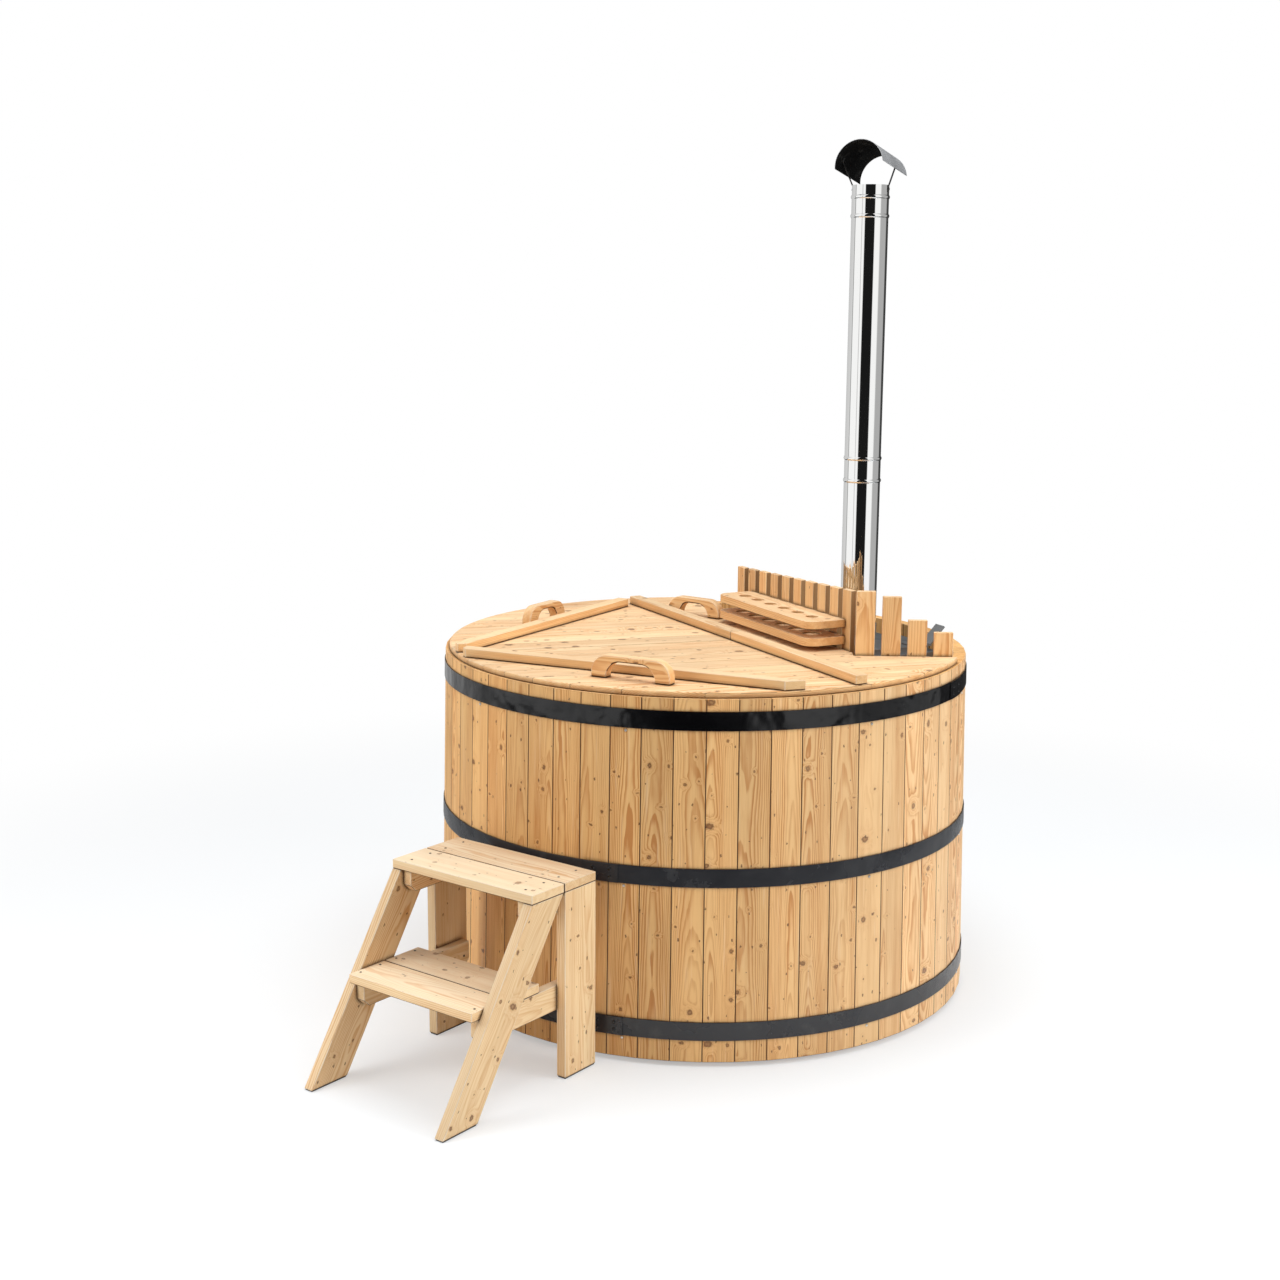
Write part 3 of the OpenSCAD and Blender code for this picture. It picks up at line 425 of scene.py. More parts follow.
def growth_rings(tree, given, flow):
    """Late wood of the rings round the log's heart, which wanders along the board."""
    grain = given["Grain"]
    place = vectors(tree, "ADD", stretched(tree, grain, (1, 1, 0)), sway(
        tree, grain, (3.0, 3.0, 1.1), 2.0, HEART_WANDER))
    place = vectors(tree, "ADD", place, sway(tree, grain, (26, 26, 4.0), 3.0, RING_RIPPLE))
    radius = scaled(tree, calc(tree, "POWER", flow, 2.0), KNOT_BULGE, length(tree, place))
    ring = calc(tree, "FRACT", calc(tree, "DIVIDE", radius, given["Ring pitch"]))
    late = calc(tree, "MULTIPLY", spread(tree, ring, 0.25, 0.86), rest_of(
        tree, spread(tree, ring, 0.9, 1.0)))
    years = noise(tree, radius, 55, 2)
    return calc(tree, "MULTIPLY", late, spread(tree, years, 0.3, 0.7, 0.35, 1.0))


def log_group():
    """Wood as a log has it: rings round a wandering heart, knots and fibres.

    Grain is a place in the log, in metres: X and Y across it and Z along it. Tone is the board's
    own lot, Edge how much painted shade a face gets, the sheen share how much painted sheen it
    gets and Open how far it is from a gap, near which it gets painted shade."""
    tree, given, out = group_tree(
        "Sawn pine",
        [
            ("Grain", "Vector", None), ("Tone", "Float", 0.5), ("Edge", "Float", 0.0),
            ("Spring wood", "Color", None), ("Summer wood", "Color", None),
            ("Knot", "Color", None), ("Ring pitch", "Float", 0.004),
            ("Knot share", "Float", 0.5), ("Contrast", "Float", 0.6), ("Seam", "Color", None),
            ("Sun", "Float", 0.0), ("Bleached", "Color", None), ("Open", "Float", 1.0),
            ("Knot size", "Float", 1.0),
        ],
        [("Color", "Color"), ("Roughness", "Float"), ("Height", "Float")],
    )
    grain, spring, summer = given["Grain"], given["Spring wood"], given["Summer wood"]
    axes = node(tree, "SeparateXYZ", {0: grain}).outputs
    inside, flow, glow, core = log_knots(tree, given, axes)
    late = growth_rings(tree, given, flow)

    # How much of the summer wood's colour shows: late rings, fibres, slow bands and dark streaks
    fibre = stretched_noise(tree, grain, (620, 620, 9), 3, 0.6)
    band = stretched_noise(tree, grain, (42, 42, 1.6), 3, 0.55)
    bold = calc(tree, "FRACT", calc(tree, "MULTIPLY", given["Tone"], 7.31))
    bold = calc(tree, "MULTIPLY", scaled(tree, bold, 1.3, 0.35), given["Contrast"])
    dark = calc(tree, "MULTIPLY", late, bold)
    dark = calc(tree, "ADD", dark, scaled(tree, band, 1.5, -0.66))
    dark = calc(tree, "ADD", dark, scaled(tree, fibre, 0.6, -0.30), clamp=True)
    streak = spread(tree, stretched_noise(tree, grain, (170, 170, 4)), 0.60, 0.80)
    dark = calc(tree, "MULTIPLY_ADD", streak, 0.5, dark, clamp=True)
    colour = blend(tree, dark, spring, summer)
    colour = blend(tree, calc(tree, "MULTIPLY", flow, 0.35), colour, summer)
    colour = blend(tree, glow, colour, spring)

    pale = blend(tree, 0.45, spring, rgba(PALE_STREAK))
    streak = spread(tree, stretched_noise(tree, grain, (120, 120, 2.2)), 0.60, 0.76)
    colour = blend(tree, calc(tree, "MULTIPLY", streak, 0.4), colour, pale)
    colour = blend(tree, calc(tree, "MULTIPLY", inside, core), colour, given["Knot"])
    pins = pin_knots(tree, given, axes)
    colour = blend(tree, calc(tree, "MULTIPLY", pins, 0.85), colour, given["Knot"])
    inside = calc(tree, "MAXIMUM", inside, pins)

    # Each board is a little lighter or darker, then paled by a painted sheen and darkened by
    # painted shade in its gaps and joints
    cloud = stretched_noise(tree, grain, (9, 9, 2.2))
    shade = calc(tree, "MULTIPLY", scaled(tree, given["Tone"], 0.24, 0.86), scaled(
        tree, cloud, 0.30, 0.87))
    grey = node(tree, "CombineColor", {0: shade, 1: shade, 2: shade}).outputs[0]
    colour = blend(tree, 1.0, colour, grey, "MULTIPLY")
    sheened = blend(tree, 1.0, given["Bleached"], grey, "MULTIPLY")
    keeps = rest_of(tree, calc(tree, "ADD", dark, inside, clamp=True))
    keeps = calc(tree, "MULTIPLY", given["Sun"], scaled(tree, keeps, 0.7, 0.3))
    colour = blend(tree, keeps, colour, sheened)
    # Painted shade near gaps, from ambient occlusion, and from the stored edge shade
    painted_shade = spread(tree, given["Open"], 0.5, 0.92, 0.92, 0.0)
    painted_shade = calc(tree, "MAXIMUM", painted_shade, given["Edge"])
    colour = blend(tree, painted_shade, colour, given["Seam"])

    rough = scaled(tree, late, -0.08, scaled(tree, fibre, 0.16, 0.50))
    tree.links.new(colour, out.inputs["Color"])
    tree.links.new(scaled(tree, inside, -0.10, rough), out.inputs["Roughness"])
    tree.links.new(
        scaled(tree, late, 0.6, calc(tree, "MULTIPLY", fibre, 0.5)), out.inputs["Height"])


def wear_group():
    """Scuffs, dust and fine scratches on painted or bare steel."""
    tree, given, out = group_tree(
        "Steel wear",
        [("Place", "Vector", None), ("Scale", "Float", 1.0)],
        [("Scuff", "Float"), ("Dust", "Float"), ("Height", "Float"), ("Dents", "Float")],
    )
    place = node(
        tree, "VectorMath", {0: given["Place"], "Scale": given["Scale"]}, operation="SCALE"
    ).outputs[0]
    scuff = spread(tree, noise(tree, place, 14, 5, 0.65), 0.52, 0.74)
    dust = spread(tree, noise(tree, place, 4.5, 3), 0.38, 0.72)
    fine = stretched_noise(tree, place, (60, 60, 340))
    tree.links.new(scuff, out.inputs["Scuff"])
    tree.links.new(dust, out.inputs["Dust"])
    tree.links.new(fine, out.inputs["Height"])
    tree.links.new(noise(tree, place, 11, 2, 0.4), out.inputs["Dents"])


# ---- Materials -----------------------------------------------------------------------------

SUMMER_SHIFT = (0.16, -0.04, -0.20)   # summer wood is redder than spring wood
FIBRE_DEPTH = 0.0006                  # depths of fine relief, in metres
SCRATCH_DEPTH = 0.0004
PIPE_WAVES = 0.0005


def object_place(tree):
    return node(tree, "TexCoord").outputs["Object"]


def worn(tree, place, scale=1.0):
    return place_group(tree, "Steel wear", {"Place": place, "Scale": scale})


def pine(name, colour, contrast=0.6, depth=0.58, sheen_strength=0.0, knot_size=1.0):
    """Planed pine. depth is how light summer wood is beside spring wood, and the sheen strength
    how far a painted sheen pales what faces up or towards the sheen's side. Knots show only on
    the broad faces of a board."""
    wood = bpy.context.scene.hot_tub_wood
    tree, shader = new_material(name)
    # Ambient occlusion gives painted shade in the gaps between boards
    open_share = node(tree, "AmbientOcclusion", {"Distance": GAP_REACH}, samples=4).outputs["AO"]
    summer = [part * (depth + shift) for part, shift in zip(colour, SUMMER_SHIFT)]
    found = place_group(tree, "Sawn pine", {
        "Grain": stored(tree, "grain", "Vector"), "Tone": stored(tree, "tone"),
        "Edge": stored(tree, "edge"), "Spring wood": rgba(colour), "Summer wood": rgba(summer),
        "Knot": rgba(wood.knot), "Ring pitch": wood.ring_pitch,
        "Knot share": calc(tree, "MULTIPLY", stored(tree, "broad"), wood.knot_share),
        "Contrast": contrast, "Seam": rgba(wood.seam),
        "Sun": calc(tree, "MULTIPLY", stored(tree, "sun"), sheen_strength),
        "Bleached": rgba(wood.sheen_colour), "Open": open_share, "Knot size": knot_size,
    })
    bump = bumped(tree, found["Height"], FIBRE_DEPTH, 0.35)
    connect(tree, shader, Base_Color=found["Color"], Roughness=found["Roughness"], Normal=bump)
    shader.inputs["Specular IOR Level"].default_value = 0.42


def steel(name, colour, scuffed, rough, metallic=0.0, scale=1.0, dents=0.0):
    """Painted or bare steel that scuffs towards a second colour. dents is their depth in metres."""
    tree, shader = new_material(name)
    found = worn(tree, object_place(tree), scale)
    share = scaled(tree, found["Scuff"], 0.5, calc(tree, "MULTIPLY", found["Dust"], 0.35))
    roughness = scaled(tree, found["Dust"], 0.10, scaled(tree, found["Scuff"], 0.12, rough))
    bump = bumped(tree, found["Height"], SCRATCH_DEPTH, 0.12)
    if dents:
        bump = bumped(tree, found["Dents"], dents, under=bump)
    connect(tree, shader, Base_Color=blend(tree, share, rgba(colour), rgba(scuffed)),
            Roughness=roughness, Normal=bump)
    shader.inputs["Metallic"].default_value = metallic


def bright_pipe():
    """Polished stainless steel, browned by heat just above the stove."""
    metal = bpy.context.scene.hot_tub_metal
    tree, shader = new_material("Bright stainless")
    place = object_place(tree)
    ragged = scaled(tree, stretched_noise(tree, place, (14, 14, 5), 3), 0.06, -0.03)
    height = calc(tree, "ADD", node(tree, "SeparateXYZ", {0: place}).outputs[2], ragged)
    stops = [
        (0.0, (0.10, 0.07, 0.06)), (0.30, (0.26, 0.13, 0.06)), (0.55, (0.62, 0.40, 0.20)),
        (0.80, (0.80, 0.70, 0.52)), (1.0, tuple(metal.pipe)),
    ]
    tint = ramp(tree, spread(tree, height, TINT_FOOT, metal.tint_top), stops)
    rough = scaled(tree, worn(tree, place)["Dust"], 0.03, 0.04)
    rough = scaled(tree, spread(tree, height, metal.tint_top, TINT_FOOT), 0.12, rough)
    bump = bumped(tree, stretched_noise(tree, place, (9, 9, 1.4)), PIPE_WAVES, 0.6)
    connect(tree, shader, Base_Color=tint, Roughness=rough, Normal=bump)
    shader.inputs["Metallic"].default_value = 1.0


def rain_cap_sheet():
    """Steel sheet: grey where its face looks up, black underneath."""
    metal = bpy.context.scene.hot_tub_metal
    tree, shader = new_material("Rain cap sheet")
    found = worn(tree, object_place(tree), 2.0)
    under = stored(tree, "under")
    grey = blend(tree, found["Dust"], rgba(metal.cap), rgba([c * 0.7 for c in metal.cap]))
    black = blend(tree, found["Scuff"], rgba(metal.cap_underside), rgba((0.03, 0.028, 0.025)))
    rough = scaled(tree, under, 0.50, scaled(tree, found["Dust"], 0.15, 0.30))
    connect(tree, shader, Base_Color=blend(tree, under, grey, black), Roughness=rough,
            Metallic=scaled(tree, under, -0.6, 0.6))
    shader.inputs["Specular IOR Level"].default_value = 0.15


def rubber_material():
    metal = bpy.context.scene.hot_tub_metal
    tree, shader = new_material("Black rubber")
    grime = spread(tree, noise(tree, object_place(tree), 60, 3), 0.4, 0.75)
    colour = blend(tree, grime, rgba(metal.rubber), rgba([c * 2.2 for c in metal.rubber]))
    connect(tree, shader, Base_Color=colour, Roughness=scaled(tree, grime, 0.2, 0.55))


def make_materials():
    """Builds the shared effects and every material once, by finish."""
    wood, metal = bpy.context.scene.hot_tub_wood, bpy.context.scene.hot_tub_metal
    log_group()
    wear_group()
    # Each wood's sheen figure sets how strongly its faces get the painted sheen
    pine("Stave pine", wood.stave, contrast=0.95, depth=0.52, sheen_strength=0.30)
    pine("Lid pine", wood.lid, contrast=0.95, depth=0.56, sheen_strength=0.38, knot_size=1.5)
    pine("Fence pine", wood.lid, contrast=0.8, depth=0.58, sheen_strength=0.38)
    pine("Stool pine", wood.stool, contrast=0.8, depth=0.60, sheen_strength=0.7)
    pine("Inside pine", wood.inside)
    steel("Black hoop paint", metal.hoop, (0.012, 0.012, 0.013), rough=0.13, dents=0.009)
    # A six times lighter copy of the hoop paint, rougher and less dented
    steel("Worn hoop paint", [c * 6 for c in metal.hoop], (0.05, 0.05, 0.052), rough=0.24,
          dents=0.003)
    steel("Stove plate", metal.stove, (0.16, 0.15, 0.14), rough=0.38, metallic=0.75)
    steel("Cap strap", (0.045, 0.045, 0.045), (0.12, 0.11, 0.10), rough=0.40, metallic=0.6,
          scale=4.0)
    steel("Dark fastener", (0.05, 0.045, 0.04), (0.12, 0.10, 0.09), rough=0.38, metallic=0.7,
          scale=6.0)
    steel("Bright screw", (0.80, 0.79, 0.77), (0.20, 0.18, 0.16), rough=0.30, metallic=0.9,
          scale=6.0)
    steel("Drain steel", metal.drain, (0.45, 0.45, 0.45), rough=0.25, metallic=1.0, scale=3.0)
    bright_pipe()
    rain_cap_sheet()
    rubber_material()


# ---- Mesh helpers --------------------------------------------------------------------------


def put_in_scene(name, data):
    made = bpy.data.objects.new(name, data)
    bpy.context.scene.collection.objects.link(made)
    return made


def loose_parts(mesh):
    """Numbers each vertex with the loose part that it belongs to."""
    parent = list(range(len(mesh.verts)))

    def root(i):
        while parent[i] != i:
            parent[i] = parent[parent[i]]
            i = parent[i]
        return i

    for edge in mesh.edges:
        a, b = root(edge.verts[0].index), root(edge.verts[1].index)
        parent[max(a, b)] = min(a, b)
    roots = [root(i) for i in range(len(parent))]
    order = {r: n for n, r in enumerate(sorted(set(roots)))}
    return np.array([order[r] for r in roots]), len(order)


def rounded(mesh, edges, size, segments):
    """Rounds edges of a mesh and returns the new faces."""
    return bmesh.ops.bevel(
        mesh, geom=edges, offset=size, offset_type="OFFSET", segments=segments, profile=0.5,
        affect="EDGES", clamp_overlap=True,
    )["faces"]


def rim_edges(mesh):
    """The upper edge of a lid where its boards end."""
    top = max(v.co.z for v in mesh.verts)
    reach = max(v.co.xy.length for v in mesh.verts)
    return [
        e for e in mesh.edges
        if all(top - v.co.z < RIM_DEPTH and reach - v.co.xy.length < RIM_BAND for v in e.verts)
    ]


def eased_mesh(node_name, ease, rim=0.0):
    """A copy of a CAD node's mesh with its facets joined and its edges rounded."""
    mesh = bmesh.new()
    mesh.from_mesh(NODES[node_name].data)
    bmesh.ops.remove_doubles(mesh, verts=mesh.verts, dist=SAME_POINT)
    bmesh.ops.dissolve_limit(mesh, angle_limit=FACET, verts=mesh.verts, edges=mesh.edges)
    eased = []
    if rim:
        rounded(mesh, rim_edges(mesh), rim, 3)
    if ease:
        eased = rounded(mesh, [
            e for e in mesh.edges if len(e.link_faces) == 2 and e.calc_face_angle(0) > SHARP
        ], ease, 2)
    mesh.verts.index_update()
    mesh.faces.index_update()
    return mesh, {f.index for f in eased}


def finish_mesh(name, mesh, body, material, node_name):
    """Turns a bmesh into a piece that rides on a body and stands for a CAD node."""
    data = bpy.data.meshes.new(name)
    mesh.to_mesh(data)
    mesh.free()
    data.shade_smooth()
    data.set_sharp_from_angle(angle=SMOOTH_BELOW)
    data.materials.append(bpy.data.materials[material])
    piece = put_in_scene(name, data)
    weigh = piece.modifiers.new("Flat faces stay flat", "WEIGHTED_NORMAL")
    weigh.keep_sharp = True
    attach(piece, body)
    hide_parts(node_name)
    return piece


def set_attribute(data, name, kind, domain, values):
    attribute = data.attributes.new(name, kind, domain)
    field = "vector" if kind == "FLOAT_VECTOR" else "value"
    attribute.data.foreach_set(field, np.asarray(values, np.float32).ravel())


def board_axes(points, along):
    """A board's own axes: across, through and along it. along may be known or None."""
    centred = points - points.mean(0)
    if along is None:
        ways = np.linalg.eigh(centred.T @ centred)[1]
        lengthwise = ways[:, 2]
        through = ways[:, 0]
    else:
        lengthwise = np.array(along, float)
        lengthwise = lengthwise / np.linalg.norm(lengthwise)
        flat = centred - np.outer(centred @ lengthwise, lengthwise)
        through = np.linalg.eigh(flat.T @ flat)[1][:, 1]
    through = through * (1 if through[np.argmax(abs(through))] > 0 else -1)
    lengthwise = lengthwise * (1 if lengthwise[np.argmax(abs(lengthwise))] > 0 else -1)
    across = np.cross(through, lengthwise)
    return across, through, lengthwise


def edge_shades(mesh, edge_faces, part, lengths, seams, shaded_sides):
    """How much painted shade each face gets: fully on edges underneath, less on the other edges,
    and not at all where a board ends.

    seams is the share on a joint that faces up; an upright one has four times as much. The last
    argument is the direction that sides in painted shade face, or None."""
    shades = np.zeros(len(mesh.faces))
    for face in mesh.faces:
        if face.index not in edge_faces:
            # Sides that face along the given direction lie in the gaps between slats and get
            # painted shade
            if shaded_sides and abs(face.normal.dot(shaded_sides)) > SQUARE_ON:
                shades[face.index] = GAP_SIDE_SHADE
        # Rounded edges underneath get full painted shade, and joints a share of it
        elif face.normal.z < FACES_DOWN:
            shades[face.index] = 1.0
        else:
            share = seams if abs(face.normal.z) > FACES_UP else min(1.0, UPRIGHT_SEAM * seams)
            endwise = abs(face.normal.dot(lengths[part[face.verts[0].index]]))
            shades[face.index] = share * max(0.0, 1.0 - END_FALL * endwise)
    return shades


def boards(node_name, body, material, along=None, ease=None, seams=0.0, rim=0.0,
           shaded_sides=None, sun=Z_AXIS):
    """The boards of a CAD node, eased, each sawn from its own place in a log.

    along is the grain's direction, a function of a board's centre, or None for its length.
    ease rounds the edges, or is None for the usual size. seams is how dark the joints between
    boards are, rim the rounding of a lid's upper rim, the next the way that sides which get a
    painted shade face, and the last the way that faces which get a painted sheen look."""
    ease = bpy.context.scene.hot_tub_wood.ease if ease is None else ease
    mesh, edge_faces = eased_mesh(node_name, ease, rim=rim)
    part, count = loose_parts(mesh)
    points = np.array([v.co for v in mesh.verts])
    grain = np.zeros_like(points)
    tone = np.zeros(len(points))
    draw = random.Random(node_name)
    lengths, thicknesses = [], []
    for number in range(count):
        own = part == number
        centre = points[own].mean(0)
        direction = along(Vector(centre)) if callable(along) else along
        axes = board_axes(points[own], direction)
        lengths.append(Vector(axes[2]))
        thicknesses.append(Vector(axes[1]))
        heart = (
            draw.uniform(-HEART_ASIDE, HEART_ASIDE), draw.uniform(*HEART_DEPTH),
            draw.uniform(0, LOG_LENGTH),
        )
        grain[own] = (points[own] - centre) @ np.array(axes).T + heart
        tone[own] = draw.random()
    edges = edge_shades(mesh, edge_faces, part, lengths, seams, shaded_sides)
    # Painted sheen: faces get paler by the square of how far they face the sheen's side, and
    # rounded edges without painted shade get a stronger painted highlight
    sheened = [
        EDGE_HIGHLIGHT if f.index in edge_faces and edges[f.index] < UNSHADED
        else max(0.0, f.normal.dot(sun)) ** 2
        for f in mesh.faces
    ]
    broad = [
        float(abs(f.normal.dot(thicknesses[part[f.verts[0].index]])) > BROAD_FACE)
        for f in mesh.faces
    ]
    ending = "_planed" if "board" in node_name else "_boards"
    piece = finish_mesh(node_name + ending, mesh, body, material, node_name)
    set_attribute(piece.data, "grain", "FLOAT_VECTOR", "POINT", grain)
    set_attribute(piece.data, "tone", "FLOAT", "POINT", tone)
    set_attribute(piece.data, "edge", "FLOAT", "FACE", edges)
    set_attribute(piece.data, "sun", "FLOAT", "FACE", sheened)
    set_attribute(piece.data, "broad", "FLOAT", "FACE", broad)


def metal_copy(node_name, body, material, ease=METAL_EDGE):
    """A CAD node's steel or rubber, with slightly rounded edges and smooth curves."""
    mesh, _ = eased_mesh(node_name, ease)
    return finish_mesh(node_name + "_finished", mesh, body, material, node_name)


# ---- Operators -----------------------------------------------------------------------------


class HotTubPiece:
    """What every operator of this file shares"""

    bl_options = {"REGISTER", "UNDO"}


class HOTTUB_OT_materials(HotTubPiece, bpy.types.Operator):
    """Make the shared effects and the materials"""

    bl_idname = "hottub.materials"
    bl_label = "Materials"

    def execute(self, context):
        make_materials()
        return {"FINISHED"}


class HOTTUB_OT_tub(HotTubPiece, bpy.types.Operator):
    """Dress the staves, the floor and its bearers"""

    bl_idname = "hottub.tub"
    bl_label = "Staves and floor"

    def execute(self, context):
        boards("staves", "tub", "Stave pine", along=Z_AXIS, seams=1.0, sun=SHEEN_SIDE)
        boards("floor_boards", "tub", "Inside pine", along=X_AXIS, seams=0.5)
        boards("floor_bearers", "tub", "Inside pine", along=Y_AXIS)
        return {"FINISHED"}


class HOTTUB_OT_hoops(HotTubPiece, bpy.types.Operator):
    """Paint the hoops and their rivets, and brighten the screws"""

    bl_idname = "hottub.hoops"
    bl_label = "Hoops"

    def execute(self, context):
        # The two lower hoops take the lighter copy of the paint
        for name in ("hoop_bottom", "hoop_middle"):
            metal_copy(name, "tub", "Worn hoop paint")
        metal_copy("hoop_top", "tub", "Black hoop paint")
        metal_copy("hoop_rivets", "tub", "Black hoop paint", ease=RIVET_EDGE)
        metal_copy("hoop_screws", "tub", "Bright screw", ease=RIVET_EDGE)
        return {"FINISHED"}


class HOTTUB_OT_bench(HotTubPiece, bpy.types.Operator):
    """Dress the bench and its panels"""

    bl_idname = "hottub.bench"
    bl_label = "Bench"

    def execute(self, context):
        boards("bench_boards", "tub", "Inside pine",
               along=lambda c: Vector((-c.y, c.x, 0)))
        boards("bench_supports", "tub", "Inside pine", along=Z_AXIS)
        return {"FINISHED"}


class HOTTUB_OT_drain(HotTubPiece, bpy.types.Operator):
    """Finish the drain fitting and its plug"""

    bl_idname = "hottub.drain"
    bl_label = "Drain"

    def execute(self, context):
        metal_copy("drain_fitting", "tub", "Drain steel")
        metal_copy("drain_plug", "plug", "Black rubber", ease=PLUG_EDGE)
        return {"FINISHED"}


class HOTTUB_OT_stove(HotTubPiece, bpy.types.Operator):
    """Finish the stove, its hatch and its handle"""

    bl_idname = "hottub.stove"
    bl_label = "Stove"

    def execute(self, context):
        for name in ("stove_body", "stove_skids", "hatch_hinge_pin", "flue_collar"):
            metal_copy(name, "tub", "Stove plate", ease=PLATE_EDGE)
        for name in ("fuel_hatch", "hatch_handle"):
            metal_copy(name, "hatch", "Stove plate", ease=PLATE_EDGE)
        return {"FINISHED"}


class HOTTUB_OT_chimney(HotTubPiece, bpy.types.Operator):
    """Polish the chimney's pipes"""

    bl_idname = "hottub.chimney"
    bl_label = "Chimney"

    def execute(self, context):
        for name in ("chimney_lower", "chimney_upper", "cap_collar"):
            metal_copy(name, "tub", "Bright stainless", ease=0.0)
        return {"FINISHED"}


class HOTTUB_OT_rain_cap(HotTubPiece, bpy.types.Operator):
    """Finish the rain cap, its straps and rivets"""

    bl_idname = "hottub.rain_cap"
    bl_label = "Rain cap"

    def execute(self, context):
        piece = metal_copy("rain_cap", "tub", "Rain cap sheet", ease=RIVET_EDGE)
        low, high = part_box("rain_cap")
        middle = (low + high) / 2
        heart = Vector((middle.x, middle.y, low.z + CAP_HEART))
        under = [
            float(f.normal.dot(Vector(f.center) - heart) < 0) for f in piece.data.polygons
        ]
        set_attribute(piece.data, "under", "FLOAT", "FACE", under)
        for name in ("cap_straps", "cap_rivets"):
            metal_copy(name, "tub", "Cap strap", ease=STRAP_EDGE)
        return {"FINISHED"}


class HOTTUB_OT_fence(HotTubPiece, bpy.types.Operator):
    """Dress the fence's slats, rails and post"""

    bl_idname = "hottub.fence"
    bl_label = "Fence"

    def execute(self, context):
        # The side slats' narrow sides get painted shade
        boards("fence_side_slats", "tub", "Fence pine", along=Z_AXIS,
               shaded_sides=level(WING_DIRECTION))
        boards("fence_front_slats", "tub", "Fence pine", along=Z_AXIS)
        boards("fence_side_rails", "tub", "Inside pine",
               along=level(WING_DIRECTION))
        boards("fence_front_rails", "tub", "Inside pine", along=X_AXIS)
        boards("fence_post", "tub", "Inside pine", along=Z_AXIS)
        return {"FINISHED"}


class HOTTUB_OT_shelves(HotTubPiece, bpy.types.Operator):
    """Dress the two cup shelves"""

    bl_idname = "hottub.shelves"
    bl_label = "Cup shelves"

    def execute(self, context):
        for name in ("cup_shelf_upper", "cup_shelf_lower"):
            boards(name, "tub", "Fence pine", along=level(WING_DIRECTION),
                   ease=SHELF_EDGE)
        return {"FINISHED"}


class HOTTUB_OT_lid(HotTubPiece, bpy.types.Operator):
    """Dress the lid's halves, battens and handles"""

    bl_idname = "hottub.lid"
    bl_label = "Lid"

    def execute(self, context):
        for half in ("front", "back"):
            body = "lid_" + half
            boards(body + "_boards", body, "Lid pine", along=level(LID_DIRECTION),
                   ease=SOFT_EDGE, seams=0.22, rim=LID_RIM)
            boards(body + "_battens", body, "Fence pine", ease=SOFT_EDGE)
        boards("lid_front_handle", "lid_front", "Fence pine", ease=HANDLE_EDGE)
        boards("lid_back_handles", "lid_back", "Fence pine", ease=HANDLE_EDGE)
        return {"FINISHED"}


class HOTTUB_OT_stool(HotTubPiece, bpy.types.Operator):
    """Dress the step stool"""

    bl_idname = "hottub.stool"
    bl_label = "Stool"

    def execute(self, context):
        for name in sorted(NODES):
            if name.startswith("stool_") and name not in ("stool_screws", "stool_pads"):
                boards(name, "stool", "Stool pine", ease=STOOL_EDGE)
        metal_copy("stool_screws", "stool", "Dark fastener", ease=STRAP_EDGE)
        metal_copy("stool_pads", "stool", "Black rubber")
        return {"FINISHED"}


# ---- Studio --------------------------------------------------------------------------------

WHITE = (1, 1, 1, 1)
FLOOR_RADIUS = 4.6
FLOOR_DROP = 0.0005       # how far the floor lies below the tub's foot
FLOOR_WHITE = 0.40        # share of plain white in the floor round the tub
LAMP_AIM = (0, 0, 0.7)
TOP_LAMP_AIM = (0, 0, 0.5)
SIDE_LAMP = (2.6, 3.2)
TOP_LAMP = (3.0, 3.0)
SENSOR = 36               # width of the camera's sensor in millimetres

# Grey values by the share of a turn at which they stand round the tub, 0.5 being in front:
# what bright metal mirrors, and the soft light
MIRRORED = [
    (0.0, 0.12), (0.04, 0.60), (0.195, 0.70), (0.205, 0.08), (0.22, 1.0), (0.345, 1.0),
    (0.35, 0.35), (0.362, 1.0), (0.398, 1.0), (0.406, 0.01), (0.57, 0.01), (0.578, 1.0),
    (0.67, 1.0), (0.69, 0.45), (0.82, 0.45), (0.84, 0.05), (0.965, 0.05), (1.0, 0.12),
]
SOFT_LIGHT = [
    (0.0, 0.50), (0.15, 0.75), (0.30, 0.80), (0.40, 0.52), (0.50, 0.42), (0.58, 0.66),
    (0.66, 0.90), (0.80, 0.80), (1.0, 0.50),
]


def mixed(tree, share, first, second):
    """Mixes two shaders."""
    return node(tree, "MixShader", {0: share, 1: first, 2: second}).outputs[0]


def seen_plainly(tree, paths):
    """1 for what the camera sees straight or through glass."""
    return calc(tree, "ADD", paths["Is Camera Ray"], paths["Is Transmission Ray"], clamp=True)


